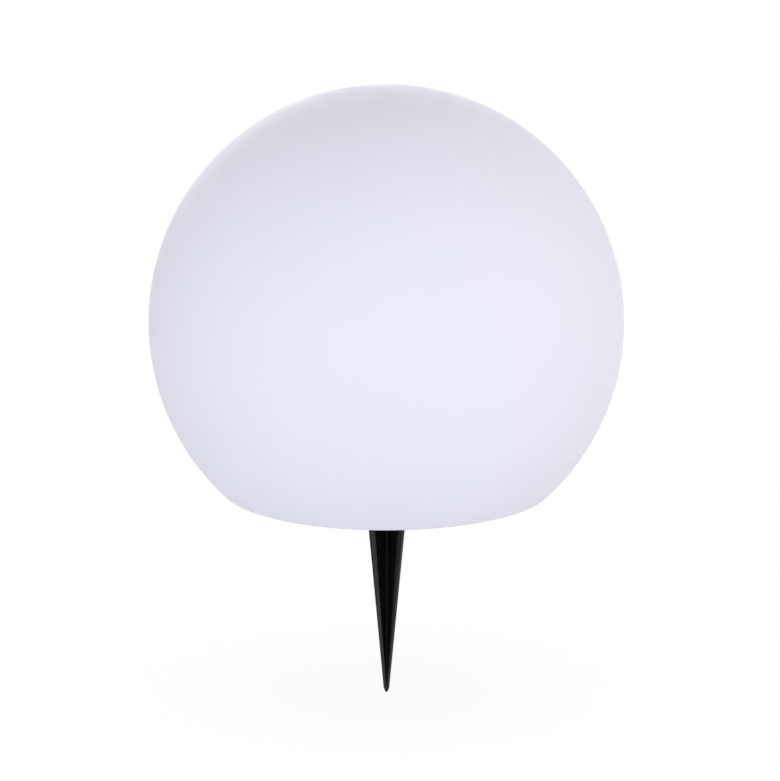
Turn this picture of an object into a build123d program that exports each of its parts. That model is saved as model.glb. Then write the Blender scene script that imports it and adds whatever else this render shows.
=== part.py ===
from build123d import *
import os
from math import cos, hypot, pi, radians, sin, sqrt

# Garden globe light on a ground spike.
#
# A moulded white ball stands on its flat underside. A light unit closes a round hole in that
# underside: a black cup with a flange, which holds the cell, the control board, the push switch
# and the charging socket, and carries the lamp board under a frosted dome on its lid. A black
# four-finned spike plugs into a blind socket in the middle of the cup.
#
# Millimetres, +Z up. The origin is the middle of the globe's flat underside, so the ground is
# Z = 0 and the spike points down. The front of the light faces -Y.

# ---------------------------------------------------------------- driving sizes: globe
GLOBE_DIAMETER = 300.0
BASE_FLAT_DIAMETER = 208.0          # flat underside, before its rim is rounded
GLOBE_WALL = 3.0
RIM_ROUNDING = 3.0
RECESS_EDGE_ROUNDING = 1.5
SEAT_WIDTH = 14.0                   # ring in the recess that the gasket presses on
INSERT_DIAMETER = 6.0
INSERT_LENGTH = 8.0
INSERT_GROOVE_DEPTH = 0.4
BOSS_WALL = 2.7                     # globe material round and above each insert

# ---------------------------------------------------------------- driving sizes: screws
FLANGE_SCREW_COUNT = 6
FLANGE_SCREW_DIAMETER = 4.0
FLANGE_SCREW_LENGTH = 12.0
FLANGE_HEAD_DIAMETER = 7.6
FLANGE_HEAD_HEIGHT = 2.4
WASHER_DIAMETER = 9.0
WASHER_THICKNESS = 0.8
CLOSING_SCREW_DIAMETER = 3.0        # lid and dome screws
CLOSING_SCREW_LENGTH = 10.0
CLOSING_HEAD_DIAMETER = 5.5
CLOSING_HEAD_HEIGHT = 1.8
SMALL_SCREW_DIAMETER = 2.5          # board and holder screws
SMALL_SCREW_LENGTH = 5.0
SMALL_HEAD_DIAMETER = 4.5
SMALL_HEAD_HEIGHT = 1.3
KEY_SHARE = 0.32                    # corner radius of a hexagon key, for a shank 1 mm across
KEY_DEPTH_SHARE = 0.6               # of the head's height
HEAD_ROUNDING_SHARE = 0.6           # of the head's height
TIP_CHAMFER_SHARE = 0.15            # of the shank's diameter

# ---------------------------------------------------------------- driving sizes: base housing
GROUND_CLEARANCE = 0.6              # flange screw heads above the ground
FLANGE_THICKNESS = 4.0
GASKET_THICKNESS = 1.5
DISH_DEPTH = 6.2                    # floor of the cup above the underside of its flange
HOUSING_WALL = 2.5
HUB_WALL = 3.4                      # round the spike socket
RIB_COUNT = 6
RIB_WIDTH = 2.0
STANDOFF_HEIGHT = 4.0
STANDOFF_WALL = 1.75
LID_BOSS_WALL = 2.5
LID_SCREW_COUNT = 4
LID_GASKET_THICKNESS = 1.0
LID_THICKNESS = 3.0

# ---------------------------------------------------------------- driving sizes: lamp and dome
LED_BOARD_THICKNESS = 1.6
LED_CHIP_SIZE = 5.0
LED_CHIP_HEIGHT = 1.6
CHIP_WINDOW_DIAMETER = 3.5
CHIP_WINDOW_DEPTH = 0.4
OUTER_CHIP_COUNT = 8
INNER_CHIP_COUNT = 4
INNER_CHIP_RADIUS = 10.0
LED_SCREW_COUNT = 3
DOME_SCREW_COUNT = 4
DOME_WALL = 2.0
DOME_FLANGE_WIDTH = 3.0
DOME_SKIRT = 6.0                    # upright part of the dome
DOME_RISE = 22.0                    # inside height of its cap
DOME_SEAL_THICKNESS = 1.0
LEAD_SPACE = 9.0                    # between the lamp board and the dome
GROMMET_NECK_DIAMETER = 5.2
GROMMET_LIP = 0.8
GROMMET_LIP_THICKNESS = 1.0

# ---------------------------------------------------------------- driving sizes: cell and boards
CELL_DIAMETER = 18.4
CELL_LENGTH = 65.0
CELL_BUTTON_DIAMETER = 6.0
CELL_BUTTON_HEIGHT = 1.0
HOLDER_WALL = 2.0
CONTACT_THICKNESS = 0.5
CONTACT_WIDTH = 9.0
CONTACT_TAB = 3.0                   # how far the solder tabs stand above the holder
SPRING_SPACE = 5.5
CONTROL_BOARD_LENGTH = 30.0
CONTROL_BOARD_WIDTH = 24.0
CONTROL_BOARD_THICKNESS = 1.6
BOARD_SCREW_INSET = 3.0
CONTROLLER_SIZE = (7.0, 7.0, 1.4)
COIL_SIZE = (6.0, 6.0, 3.0)
DIODE_SIZE = (2.8, 1.8, 1.2)
CAPACITOR_DIAMETER = 4.0
CAPACITOR_HEIGHT = 5.5
COMPONENT_GAP = 2.0
LEAD_DIAMETER = 1.4
LEAD_BEND = 2.5
LEAD_GAP = 1.2                      # between the two lamp leads

# ---------------------------------------------------------------- driving sizes: switch, socket
BUTTON_ANGLE = 210.0                # round the hub, in a bay between two ribs
PORT_ANGLE = 330.0
SWITCH_DIAMETER = 12.0
SWITCH_DEPTH = 13.0                 # barrel above the floor's underside
BEZEL_WIDTH = 2.0
BEZEL_THICKNESS = 1.8
SWITCH_SEAL_THICKNESS = 1.0
BUTTON_DIAMETER = 8.4
BUTTON_PROUD = 1.6                  # button below its bezel
BUTTON_TRAVEL = 1.4
BUTTON_LIP = 0.7
BUTTON_LIP_THICKNESS = 1.2
PORT_DIAMETER = 11.0
PORT_DEPTH = 16.0
PORT_FLANGE_WIDTH = 1.5
PORT_FLANGE_THICKNESS = 1.5
PORT_BORE_DIAMETER = 6.4
PORT_PIN_DIAMETER = 2.1
PORT_PIN_SETBACK = 3.5
PORT_BORE_DEPTH = 10.0
NUT_WIDTH_OVER_THREAD = 3.0         # nut across flats, more than its thread
NUT_THICKNESS = 2.5
TERMINAL_WIDTH = 1.6
TERMINAL_THICKNESS = 0.8
TERMINAL_LENGTH = 5.0
TERMINAL_SPACING = 4.4
FLAP_THICKNESS = 1.8
FLAP_OVERLAP = 0.5                  # flap over the edge of the port's flange
FLAP_PLUG_LENGTH = 2.2
FLAP_TAB_LENGTH = 3.0
FLAP_TAB_WIDTH = 6.0
FLAP_WEB_THICKNESS = 0.8
FLAP_WEB_LENGTH = 2.2               # from the flap to its hinge line
ANCHOR_LENGTH = 4.0
ANCHOR_WIDTH = 5.0
ANCHOR_STEM_DIAMETER = 3.0
ANCHOR_BARB = 0.7

# ---------------------------------------------------------------- driving sizes: ground spike
PEG_DIAMETER = 20.0
PEG_LENGTH = 24.0
PEG_WALL = 3.0
COLLAR_DIAMETER = 40.0
COLLAR_THICKNESS = 3.2
SPIKE_LENGTH = 135.0                # from the ground line down to the point
SPIKE_POINT_LENGTH = 2.6
FIN_TOP_REACH = 17.0                # from the axis to the edge of a fin
FIN_END_REACH = 1.7
FIN_POINT_REACH = 0.7
FIN_TOP_THICKNESS = 2.9
FIN_END_THICKNESS = 1.9
FIN_POINT_THICKNESS = 0.8
FIN_ANGLE = 52.0

# ---------------------------------------------------------------- clearances
PEG_CLEARANCE = 0.1                 # push fit, on the radius
SHANK_CLEARANCE = 0.05              # screw in its thread, on the radius
SCREW_HOLE_CLEARANCE = 0.25         # screw in a through hole, on the radius
OPENING_CLEARANCE = 1.4             # cup in the globe's hole, on the radius
FLANGE_CLEARANCE = 1.0              # flange in the globe's recess, on the radius
PIECE_GAP = 1.0                     # between pieces inside the cup
CELL_CLEARANCE = 0.3
SLIDE_CLEARANCE = 0.3               # button in its bezel, on the radius
SEAL_SETBACK = 0.3                  # seal inside the edge of what presses on it
WEB_SETBACK = 0.3                   # end of the flap's web, short of the hinge line
FLAP_CLEARANCE = 0.2                # flap below the port's flange
PLUG_CLEARANCE = 0.5                # flap's plug in the port, on the radius
ANCHOR_GAP = 1.2                    # between the hinge line and the anchor
SMALL_ROUNDING = 0.6                # edges of the mouldings
AT_HEIGHT = 0.01                    # tolerance for picking an edge or corner by its height

# ---------------------------------------------------------------- heights, worked out
globe_radius = GLOBE_DIAMETER / 2
globe_centre_z = sqrt(globe_radius**2 - (BASE_FLAT_DIAMETER / 2)**2)
flange_bottom = GROUND_CLEARANCE + FLANGE_HEAD_HEIGHT + WASHER_THICKNESS
flange_top = flange_bottom + FLANGE_THICKNESS
seat_z = flange_top + GASKET_THICKNESS
floor_bottom = flange_bottom + DISH_DEPTH
floor_top = floor_bottom + HOUSING_WALL
standoff_top = floor_top + STANDOFF_HEIGHT
socket_top = flange_bottom + PEG_LENGTH + PIECE_GAP
hub_top = socket_top + HOUSING_WALL
holder_floor_top = standoff_top + HOLDER_WALL
cell_z = holder_floor_top + CELL_CLEARANCE + CELL_DIAMETER / 2
cell_top = cell_z + CELL_DIAMETER / 2
holder_wall_top = cell_z + CELL_DIAMETER / 4
contact_top = holder_wall_top + CONTACT_TAB
cell_lead_height = contact_top + 2 * LEAD_BEND
dome_boss_depth = CLOSING_SCREW_LENGTH - DOME_WALL - DOME_SEAL_THICKNESS - LID_THICKNESS + PIECE_GAP
led_boss_depth = max(SMALL_SCREW_LENGTH - LED_BOARD_THICKNESS - LID_THICKNESS, 0) + PIECE_GAP
rim_top = max(
    max(cell_top, hub_top) + dome_boss_depth + PIECE_GAP,
    cell_lead_height + LEAD_DIAMETER + led_boss_depth,
)
lid_bottom = rim_top + LID_GASKET_THICKNESS
lid_top = lid_bottom + LID_THICKNESS
led_board_top = lid_top + LED_BOARD_THICKNESS
dome_bottom = lid_top + DOME_SEAL_THICKNESS
dome_flange_top = dome_bottom + DOME_WALL
control_board_top = standoff_top + CONTROL_BOARD_THICKNESS

# ---------------------------------------------------------------- plan sizes, worked out
peg_radius = PEG_DIAMETER / 2
socket_radius = peg_radius + PEG_CLEARANCE
hub_radius = socket_radius + HUB_WALL
collar_radius = COLLAR_DIAMETER / 2
lid_boss_radius = CLOSING_SCREW_DIAMETER / 2 + LID_BOSS_WALL
standoff_radius = SMALL_SCREW_DIAMETER / 2 + STANDOFF_WALL

cell_pocket_width = CELL_DIAMETER + 2 * CELL_CLEARANCE
holder_near_y = hub_radius + PIECE_GAP
holder_far_y = holder_near_y + cell_pocket_width + 2 * HOLDER_WALL
cell_y = (holder_near_y + holder_far_y) / 2
holder_half_length = (SPRING_SPACE + CELL_LENGTH + CONTACT_THICKNESS) / 2 + HOLDER_WALL
cell_start_x = -holder_half_length + HOLDER_WALL + SPRING_SPACE
cell_end_x = cell_start_x + CELL_LENGTH

board_near_y = -hub_radius - 3 * PIECE_GAP
board_far_y = board_near_y - CONTROL_BOARD_WIDTH
board_y = (board_near_y + board_far_y) / 2
board_screw_x = CONTROL_BOARD_LENGTH / 2 - BOARD_SCREW_INSET
board_screw_y = CONTROL_BOARD_WIDTH / 2 - BOARD_SCREW_INSET

flap_radius = PORT_DIAMETER / 2 + PORT_FLANGE_WIDTH + FLAP_OVERLAP
hinge_offset = flap_radius + FLAP_WEB_LENGTH
anchor_offset = hinge_offset + ANCHOR_GAP + ANCHOR_LENGTH / 2

# The cup is as wide as the corners of the cell holder, as the board with a lid boss in front of
# it, or as the port flap between the spike's collar and the wall, whichever needs most.
cup_inner_radius = max(
    hypot(holder_half_length, holder_far_y) + PIECE_GAP,
    2 * lid_boss_radius + PIECE_GAP - board_far_y,
    collar_radius + 2 * (anchor_offset + ANCHOR_LENGTH / 2 + PIECE_GAP),
)
cup_outer_radius = cup_inner_radius + HOUSING_WALL
opening_radius = cup_outer_radius + OPENING_CLEARANCE
flange_screw_circle = opening_radius + SEAT_WIDTH / 2
recess_radius = opening_radius + SEAT_WIDTH
flange_radius = recess_radius - FLANGE_CLEARANCE
lid_screw_circle = cup_inner_radius - lid_boss_radius + SMALL_ROUNDING

dome_flange_radius = lid_screw_circle - CLOSING_HEAD_DIAMETER / 2 - SMALL_ROUNDING
dome_outer_radius = dome_flange_radius - DOME_FLANGE_WIDTH
dome_inner_radius = dome_outer_radius - DOME_WALL
dome_lug_radius = CLOSING_HEAD_DIAMETER / 2 + SMALL_ROUNDING
dome_screw_circle = dome_flange_radius + dome_lug_radius - PIECE_GAP
led_board_radius = dome_inner_radius - LEAD_SPACE
grommet_radius = GROMMET_NECK_DIAMETER / 2 + GROMMET_LIP
grommet_y = -(dome_inner_radius + led_board_radius) / 2
led_screw_circle = led_board_radius - SMALL_HEAD_DIAMETER / 2 - PIECE_GAP
outer_chip_radius = led_screw_circle - SMALL_HEAD_DIAMETER / 2 - PIECE_GAP - LED_CHIP_SIZE / 2

# Switch and port lie half way from the spike's collar to the wall of the cup.
panel_radius = (collar_radius + cup_inner_radius) / 2
port_face_z = floor_bottom - PORT_FLANGE_THICKNESS
hinge_z = port_face_z - FLAP_CLEARANCE
bezel_top = floor_bottom - SWITCH_SEAL_THICKNESS
bezel_bottom = bezel_top - BEZEL_THICKNESS
button_radius = BUTTON_DIAMETER / 2
button_bore_radius = button_radius + SLIDE_CLEARANCE
button_lip_radius = button_radius + BUTTON_LIP
switch_terminal_top = floor_bottom + SWITCH_DEPTH + TERMINAL_LENGTH
socket_terminal_top = port_face_z + PORT_DEPTH + TERMINAL_LENGTH

UPRIGHT = (Align.CENTER, Align.CENTER, Align.MIN)


# ---------------------------------------------------------------- shared shapes
def disc(radius, bottom, top):
    """Upright cylinder on the Z axis between two heights."""
    return Pos(0, 0, bottom) * Cylinder(radius, top - bottom, align=UPRIGHT)


def ring(outer, inner, bottom, top):
    """Upright ring on the Z axis between two heights."""
    return disc(outer, bottom, top) - disc(inner, bottom, top)


def block(low, high):
    """Box between its lowest and highest corners."""
    size = [high[axis] - low[axis] for axis in range(3)]
    return Pos(*low) * Box(*size, align=(Align.MIN, Align.MIN, Align.MIN))


def turned(points):
    """Solid of revolution about the Z axis from a closed outline of radius and height."""
    return revolve(Plane.XZ * make_face(Polyline(*points, close=True)), axis=Axis.Z)


def around(count, radius, start=0.0):
    """Places for a round pattern, each turned to face outwards."""
    return [Rot(0, 0, start + turn * 360 / count) * Pos(radius, 0, 0) for turn in range(count)]


def copies(solid, places):
    """The same solid at every place."""
    return [place * solid for place in places]


def hexagon_nut(thread_diameter, bottom):
    """Plain hexagon nut standing on a face at the given height."""
    flats = thread_diameter + NUT_WIDTH_OVER_THREAD
    outline = RegularPolygon(flats / 2, 6, major_radius=False)
    body = Pos(0, 0, bottom) * extrude(outline, NUT_THICKNESS)
    corners = body.edges().filter_by(Axis.Z)
    return fillet(corners, SMALL_ROUNDING) - disc(thread_diameter / 2, bottom, bottom + NUT_THICKNESS)


def button_head_screw(diameter, length, head_diameter, head_height):
    """Screw pointing down, its head standing on Z = 0 with a hexagon socket."""
    head = disc(head_diameter / 2, 0, head_height)
    head = fillet(head.edges().sort_by(Axis.Z)[-1], head_height * HEAD_ROUNDING_SHARE)
    key = extrude(RegularPolygon(diameter * KEY_SHARE, 6), head_height)
    shank = disc(diameter / 2, -length, 0)
    shank = chamfer(shank.edges().sort_by(Axis.Z)[0], diameter * TIP_CHAMFER_SHARE)
    return head + shank - Pos(0, 0, head_height * (1 - KEY_DEPTH_SHARE)) * key


def countersunk_shape(diameter, length, head_diameter):
    """Shank with a countersunk head, flush with Z = 0 and pointing down."""
    drop = (head_diameter - diameter) / 2
    return turned([(0, 0), (head_diameter / 2, 0), (diameter / 2, -drop),
                   (diameter / 2, -length), (0, -length)])


def lead(points):
    """Insulated lead along straight runs joined by round bends."""
    path = FilletPolyline(*points, radius=LEAD_BEND)
    start = Plane(origin=path @ 0, z_dir=path % 0)
    tube = sweep(start * Circle(LEAD_DIAMETER / 2), path=path)
    expected = pi * (LEAD_DIAMETER / 2)**2 * path.length
    print(f"lead: {path.length:.1f} mm, bends {LEAD_BEND} mm, volume ratio {tube.volume / expected:.4f}")
    return tube


def panel_place(angle):
    """Place of a piece that goes through the cup's floor, at an angle round the hub."""
    return Rot(0, 0, angle) * Pos(panel_radius, 0, 0)


def terminals(bottom):
    """A pair of upright solder terminals, side by side along X."""
    pair = []
    for side in (-1, 1):
        middle = side * TERMINAL_SPACING / 2
        low = (middle - TERMINAL_WIDTH / 2, -TERMINAL_THICKNESS / 2, bottom)
        high = (middle + TERMINAL_WIDTH / 2, TERMINAL_THICKNESS / 2, bottom + TERMINAL_LENGTH)
        pair.append(block(low, high))
    return pair


# ---------------------------------------------------------------- globe
def globe_outline(radius, floor, recess_wall, recess_top):
    """Half section of a ball cut flat at its floor, with a round recess in the flat."""
    corner = (Align.MIN, Align.MIN)
    ball = Pos(0, globe_centre_z) * Circle(radius)
    kept = Pos(0, floor) * Rectangle(GLOBE_DIAMETER, GLOBE_DIAMETER, align=corner)
    recess = Pos(0, floor) * Rectangle(recess_wall, recess_top - floor, align=corner)
    return ball & kept - recess


def globe_shell():
    """Moulded ball with its recess, hole and insert bosses."""
    outside = globe_outline(globe_radius, 0, recess_radius, seat_z)
    inside = globe_outline(globe_radius - GLOBE_WALL, GLOBE_WALL,
                           recess_radius + GLOBE_WALL, seat_z + GLOBE_WALL)
    hole = Rectangle(opening_radius, seat_z + 2 * GLOBE_WALL, align=(Align.MIN, Align.MIN))
    section = outside - inside - hole
    rim = section.vertices().filter_by_position(Axis.Y, -AT_HEIGHT, AT_HEIGHT).sort_by(Axis.X)[-1]
    section = fillet(rim, RIM_ROUNDING)
    edge = section.vertices().filter_by_position(Axis.Y, -AT_HEIGHT, AT_HEIGHT).sort_by(Axis.X)[0]
    section = fillet(edge, RECESS_EDGE_ROUNDING)
    shell = revolve(Plane.XZ * section, axis=Axis.Z)

    boss_radius = INSERT_DIAMETER / 2 + BOSS_WALL
    boss = disc(boss_radius, seat_z + GLOBE_WALL / 2, seat_z + INSERT_LENGTH + BOSS_WALL)
    boss = fillet(boss.edges().sort_by(Axis.Z)[-1], SMALL_ROUNDING)
    pocket = insert_body()
    places = around(FLANGE_SCREW_COUNT, flange_screw_circle)
    for place in places:
        shell = shell + place * boss - place * pocket
    return shell


def insert_body():
    """Outside of one insert, with the groove that keeps it in the moulding."""
    outer = INSERT_DIAMETER / 2
    bottom, top = seat_z, seat_z + INSERT_LENGTH
    groove = ring(outer, outer - INSERT_GROOVE_DEPTH, bottom + INSERT_LENGTH / 3,
                  top - INSERT_LENGTH / 3)
    return disc(outer, bottom, top) - groove


def threaded_inserts():
    """Brass inserts, bored to clear the screws."""
    bore = FLANGE_SCREW_DIAMETER / 2 + SHANK_CLEARANCE
    insert = insert_body() - disc(bore, seat_z, seat_z + INSERT_LENGTH)
    return copies(insert, around(FLANGE_SCREW_COUNT, flange_screw_circle))


# ---------------------------------------------------------------- base housing and its closure
def flange_holes(bottom, top):
    """Clearance holes for the flange screws through a flat piece."""
    hole = disc(FLANGE_SCREW_DIAMETER / 2 + SCREW_HOLE_CLEARANCE, bottom, top)
    return copies(hole, around(FLANGE_SCREW_COUNT, flange_screw_circle))


def housing_body():
    """Cup, floor, flange and hub in one turned shape."""
    body = turned([
        (socket_radius, flange_bottom), (hub_radius, flange_bottom), (hub_radius, floor_bottom),
        (cup_inner_radius, floor_bottom), (cup_inner_radius, flange_bottom),
        (flange_radius, flange_bottom), (flange_radius, flange_top),
        (cup_outer_radius, flange_top), (cup_outer_radius, rim_top),
        (cup_inner_radius, rim_top), (cup_inner_radius, floor_top),
        (hub_radius, floor_top), (hub_radius, hub_top),
        (0, hub_top), (0, socket_top), (socket_radius, socket_top),
    ])
    lower_edges = body.edges().filter_by_position(
        Axis.Z, flange_bottom - AT_HEIGHT, flange_bottom + AT_HEIGHT)
    outer_edges = [edge for edge in lower_edges if edge.radius > hub_radius + SMALL_ROUNDING]
    return fillet(outer_edges, SMALL_ROUNDING)


def ribs():
    """Radial ribs under the floor, from the hub to the wall of the cup."""
    rib = block((hub_radius - HUB_WALL / 2, -RIB_WIDTH / 2, flange_bottom),
                (cup_inner_radius + HOUSING_WALL / 2, RIB_WIDTH / 2, floor_bottom))
    return copies(rib, around(RIB_COUNT, 0))


def lid_bosses():
    """Posts inside the wall of the cup that take the lid screws."""
    post = Pos(lid_screw_circle, 0, 0) * disc(lid_boss_radius, floor_top, lid_bottom)
    post = post & disc(cup_inner_radius, floor_top, lid_bottom)
    return copies(post, around(LID_SCREW_COUNT, 0))


def control_board_screw_places():
    """Places of the four screws of the control board."""
    return [Pos(side * board_screw_x, board_y + end * board_screw_y, 0)
            for side in (-1, 1) for end in (-1, 1)]


def standoff_places():
    """Places of the board and cell holder standoffs."""
    return control_board_screw_places() + holder_screw_places()


def holder_screw_places():
    """Places of the two screws in the floor of the cell holder."""
    return [Pos(side * holder_half_length / 2, cell_y, 0) for side in (-1, 1)]


def base_housing():
    """Black cup with flange, ribs, hub, posts and all its holes."""
    housing = housing_body()
    standoff = disc(standoff_radius, floor_top, standoff_top)
    housing = housing + ribs() + lid_bosses() + copies(standoff, standoff_places())

    small_tip = min(control_board_top, holder_floor_top) - SMALL_SCREW_LENGTH
    small_pilot = disc(SMALL_SCREW_DIAMETER / 2 + SHANK_CLEARANCE, small_tip, standoff_top)
    lid_tip = lid_top - CLOSING_SCREW_LENGTH
    lid_pilot = disc(CLOSING_SCREW_DIAMETER / 2 + SHANK_CLEARANCE, lid_tip, lid_bottom)
    switch_hole = disc(SWITCH_DIAMETER / 2, floor_bottom, floor_top)
    port_hole = disc(PORT_DIAMETER / 2, floor_bottom, floor_top)
    anchor_hole = disc(ANCHOR_STEM_DIAMETER / 2, floor_bottom, floor_top)
    holes = flange_holes(flange_bottom, flange_top)
    holes += copies(small_pilot, standoff_places())
    holes += copies(lid_pilot, around(LID_SCREW_COUNT, lid_screw_circle))
    holes.append(panel_place(BUTTON_ANGLE) * switch_hole)
    holes.append(panel_place(PORT_ANGLE) * port_hole)
    holes.append(panel_place(PORT_ANGLE) * Pos(anchor_offset, 0, 0) * anchor_hole)
    return housing - holes


def base_gasket():
    """Flat rubber ring between the flange and the globe."""
    gasket = ring(flange_radius, opening_radius, flange_top, seat_z)
    return gasket - flange_holes(flange_top, seat_z)


def flange_screws():
    """Screws that hold the light unit up in the globe, heads down."""
    screw = button_head_screw(FLANGE_SCREW_DIAMETER, FLANGE_SCREW_LENGTH,
                              FLANGE_HEAD_DIAMETER, FLANGE_HEAD_HEIGHT)
    head_seat = flange_bottom - WASHER_THICKNESS
    upturned = Pos(0, 0, head_seat) * Rot(180, 0, 0) * screw
    return copies(upturned, around(FLANGE_SCREW_COUNT, flange_screw_circle))


def screw_washers():
    """Sealing washers under the heads of the flange screws."""
    washer = ring(WASHER_DIAMETER / 2, FLANGE_SCREW_DIAMETER / 2 + SHANK_CLEARANCE,
                  flange_bottom - WASHER_THICKNESS, flange_bottom)
    return copies(washer, around(FLANGE_SCREW_COUNT, flange_screw_circle))


def dome_screw_places():
    """Dome screws stand half way between the lid screws."""
    return around(DOME_SCREW_COUNT, dome_screw_circle, start=180 / DOME_SCREW_COUNT)


def led_screw_places():
    """Lamp board screws, with one at the back."""
    return around(LED_SCREW_COUNT, led_screw_circle, start=90)


def housing_lid():
    """Round lid with its screw holes, lamp board bosses and lead hole."""
    lid = disc(cup_outer_radius, lid_bottom, lid_top)
    lid = fillet(lid.edges().sort_by(Axis.Z)[-1], SMALL_ROUNDING)
    small_tip = led_board_top - SMALL_SCREW_LENGTH
    small_boss = disc(standoff_radius, lid_bottom - led_boss_depth, lid_bottom)
    dome_boss = disc(dome_lug_radius, lid_bottom - dome_boss_depth, lid_bottom)
    lid = lid + copies(small_boss, led_screw_places()) + copies(dome_boss, dome_screw_places())

    lid_hole = disc(CLOSING_SCREW_DIAMETER / 2 + SCREW_HOLE_CLEARANCE, lid_bottom, lid_top)
    dome_tip = dome_flange_top - CLOSING_SCREW_LENGTH
    dome_pilot = disc(CLOSING_SCREW_DIAMETER / 2 + SHANK_CLEARANCE, dome_tip, lid_top)
    small_pilot = disc(SMALL_SCREW_DIAMETER / 2 + SHANK_CLEARANCE, small_tip, lid_top)
    lead_hole = Pos(0, grommet_y, 0) * disc(GROMMET_NECK_DIAMETER / 2, lid_bottom, lid_top)
    holes = copies(lid_hole, around(LID_SCREW_COUNT, lid_screw_circle))
    holes += copies(dome_pilot, dome_screw_places())
    holes += copies(small_pilot, led_screw_places())
    return lid - holes - lead_hole


def lid_gasket():
    """Flat ring between the rim of the cup and the lid."""
    return ring(cup_outer_radius, cup_inner_radius, rim_top, lid_bottom)


def closing_screws(head_seat, places):
    """Lid or dome screws with their heads on a face at the given height."""
    screw = button_head_screw(CLOSING_SCREW_DIAMETER, CLOSING_SCREW_LENGTH,
                              CLOSING_HEAD_DIAMETER, CLOSING_HEAD_HEIGHT)
    return copies(Pos(0, 0, head_seat) * screw, places)


# ---------------------------------------------------------------- lamp board and dome
def led_board():
    """Round aluminium board that carries the lamp chips."""
    hole = disc(SMALL_SCREW_DIAMETER / 2 + SCREW_HOLE_CLEARANCE, lid_top, led_board_top)
    return disc(led_board_radius, lid_top, led_board_top) - copies(hole, led_screw_places())


def led_chips():
    """Square chips in an outer and an inner ring, each with a round window."""
    half = LED_CHIP_SIZE / 2
    top = led_board_top + LED_CHIP_HEIGHT
    chip = block((-half, -half, led_board_top), (half, half, top))
    chip = chip - disc(CHIP_WINDOW_DIAMETER / 2, top - CHIP_WINDOW_DEPTH, top)
    outer = copies(chip, around(OUTER_CHIP_COUNT, outer_chip_radius))
    inner = copies(chip, around(INNER_CHIP_COUNT, INNER_CHIP_RADIUS, start=180 / INNER_CHIP_COUNT))
    return outer + inner


def small_screws(head_seat, places):
    """Board screws with their heads on a face at the given height."""
    screw = button_head_screw(SMALL_SCREW_DIAMETER, SMALL_SCREW_LENGTH,
                              SMALL_HEAD_DIAMETER, SMALL_HEAD_HEIGHT)
    return copies(Pos(0, 0, head_seat) * screw, places)


def dome_cap(base_radius, rise, base_z):
    """Solid cap of a ball that stands on a round base."""
    cap_radius = (base_radius**2 + rise**2) / (2 * rise)
    ball = Pos(0, 0, base_z + rise - cap_radius) * Sphere(cap_radius)
    return ball & disc(cap_radius, base_z, base_z + rise)


def led_dome():
    """Frosted dome with a flange and four screw lugs."""
    skirt_top = dome_bottom + DOME_SKIRT
    outside = disc(dome_outer_radius, dome_bottom, skirt_top)
    outside = outside + dome_cap(dome_outer_radius, DOME_RISE + DOME_WALL, skirt_top)
    inside = disc(dome_inner_radius, dome_bottom, skirt_top)
    inside = inside + dome_cap(dome_inner_radius, DOME_RISE, skirt_top)
    flange = disc(dome_flange_radius, dome_bottom, dome_flange_top)
    lug = disc(dome_lug_radius, lid_top, dome_flange_top)
    hole = disc(CLOSING_SCREW_DIAMETER / 2 + SCREW_HOLE_CLEARANCE, lid_top, dome_flange_top)
    dome = outside + flange + copies(lug, dome_screw_places())
    return dome - inside - copies(hole, dome_screw_places())


def dome_seal():
    """Rubber ring under the dome's flange, inside its lugs."""
    outer = dome_screw_circle - dome_lug_radius - SEAL_SETBACK
    return ring(outer, dome_inner_radius, lid_top, dome_bottom)


def lead_grommet():
    """Rubber grommet in the lid, bored for the two lamp leads."""
    neck = disc(GROMMET_NECK_DIAMETER / 2, lid_bottom, lid_top)
    lower = disc(grommet_radius, lid_bottom - GROMMET_LIP_THICKNESS, lid_bottom)
    upper = disc(grommet_radius, lid_top, lid_top + GROMMET_LIP_THICKNESS)
    bore = disc(LEAD_DIAMETER / 2 + SHANK_CLEARANCE, lid_bottom - GROMMET_LIP_THICKNESS,
                lid_top + GROMMET_LIP_THICKNESS)
    body = neck + lower + upper
    for x in lamp_lead_x():
        body = body - Pos(x, 0, 0) * bore
    return Pos(0, grommet_y, 0) * body


# ---------------------------------------------------------------- cell, holder and contacts
def battery_cell():
    """Rechargeable cell lying along X behind the hub, its button end to the right."""
    barrel_end = cell_end_x - CELL_BUTTON_HEIGHT
    barrel = Cylinder(CELL_DIAMETER / 2, barrel_end - cell_start_x, align=UPRIGHT)
    barrel = fillet(barrel.edges(), SMALL_ROUNDING)
    button = Pos(0, 0, barrel_end - cell_start_x) * Cylinder(
        CELL_BUTTON_DIAMETER / 2, CELL_BUTTON_HEIGHT, align=UPRIGHT)
    return Pos(cell_start_x, cell_y, cell_z) * Rot(0, 90, 0) * (barrel + button)


def battery_holder():
    """Open tray with high ends, screwed to two standoffs."""
    inner_half = holder_half_length - HOLDER_WALL
    tray = block((-holder_half_length, holder_near_y, standoff_top),
                 (holder_half_length, holder_far_y, holder_wall_top))
    pocket = block((-inner_half, holder_near_y + HOLDER_WALL, holder_floor_top),
                   (inner_half, holder_far_y - HOLDER_WALL, holder_wall_top))
    side_cut = block((-inner_half, holder_near_y, cell_z),
                     (inner_half, holder_far_y, holder_wall_top))
    hole = countersunk_shape(SMALL_SCREW_DIAMETER + 2 * SHANK_CLEARANCE, SMALL_SCREW_LENGTH,
                             SMALL_HEAD_DIAMETER + 2 * SHANK_CLEARANCE)
    holes = copies(Pos(0, 0, holder_floor_top) * hole, holder_screw_places())
    return tray - pocket - side_cut - holes


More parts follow.
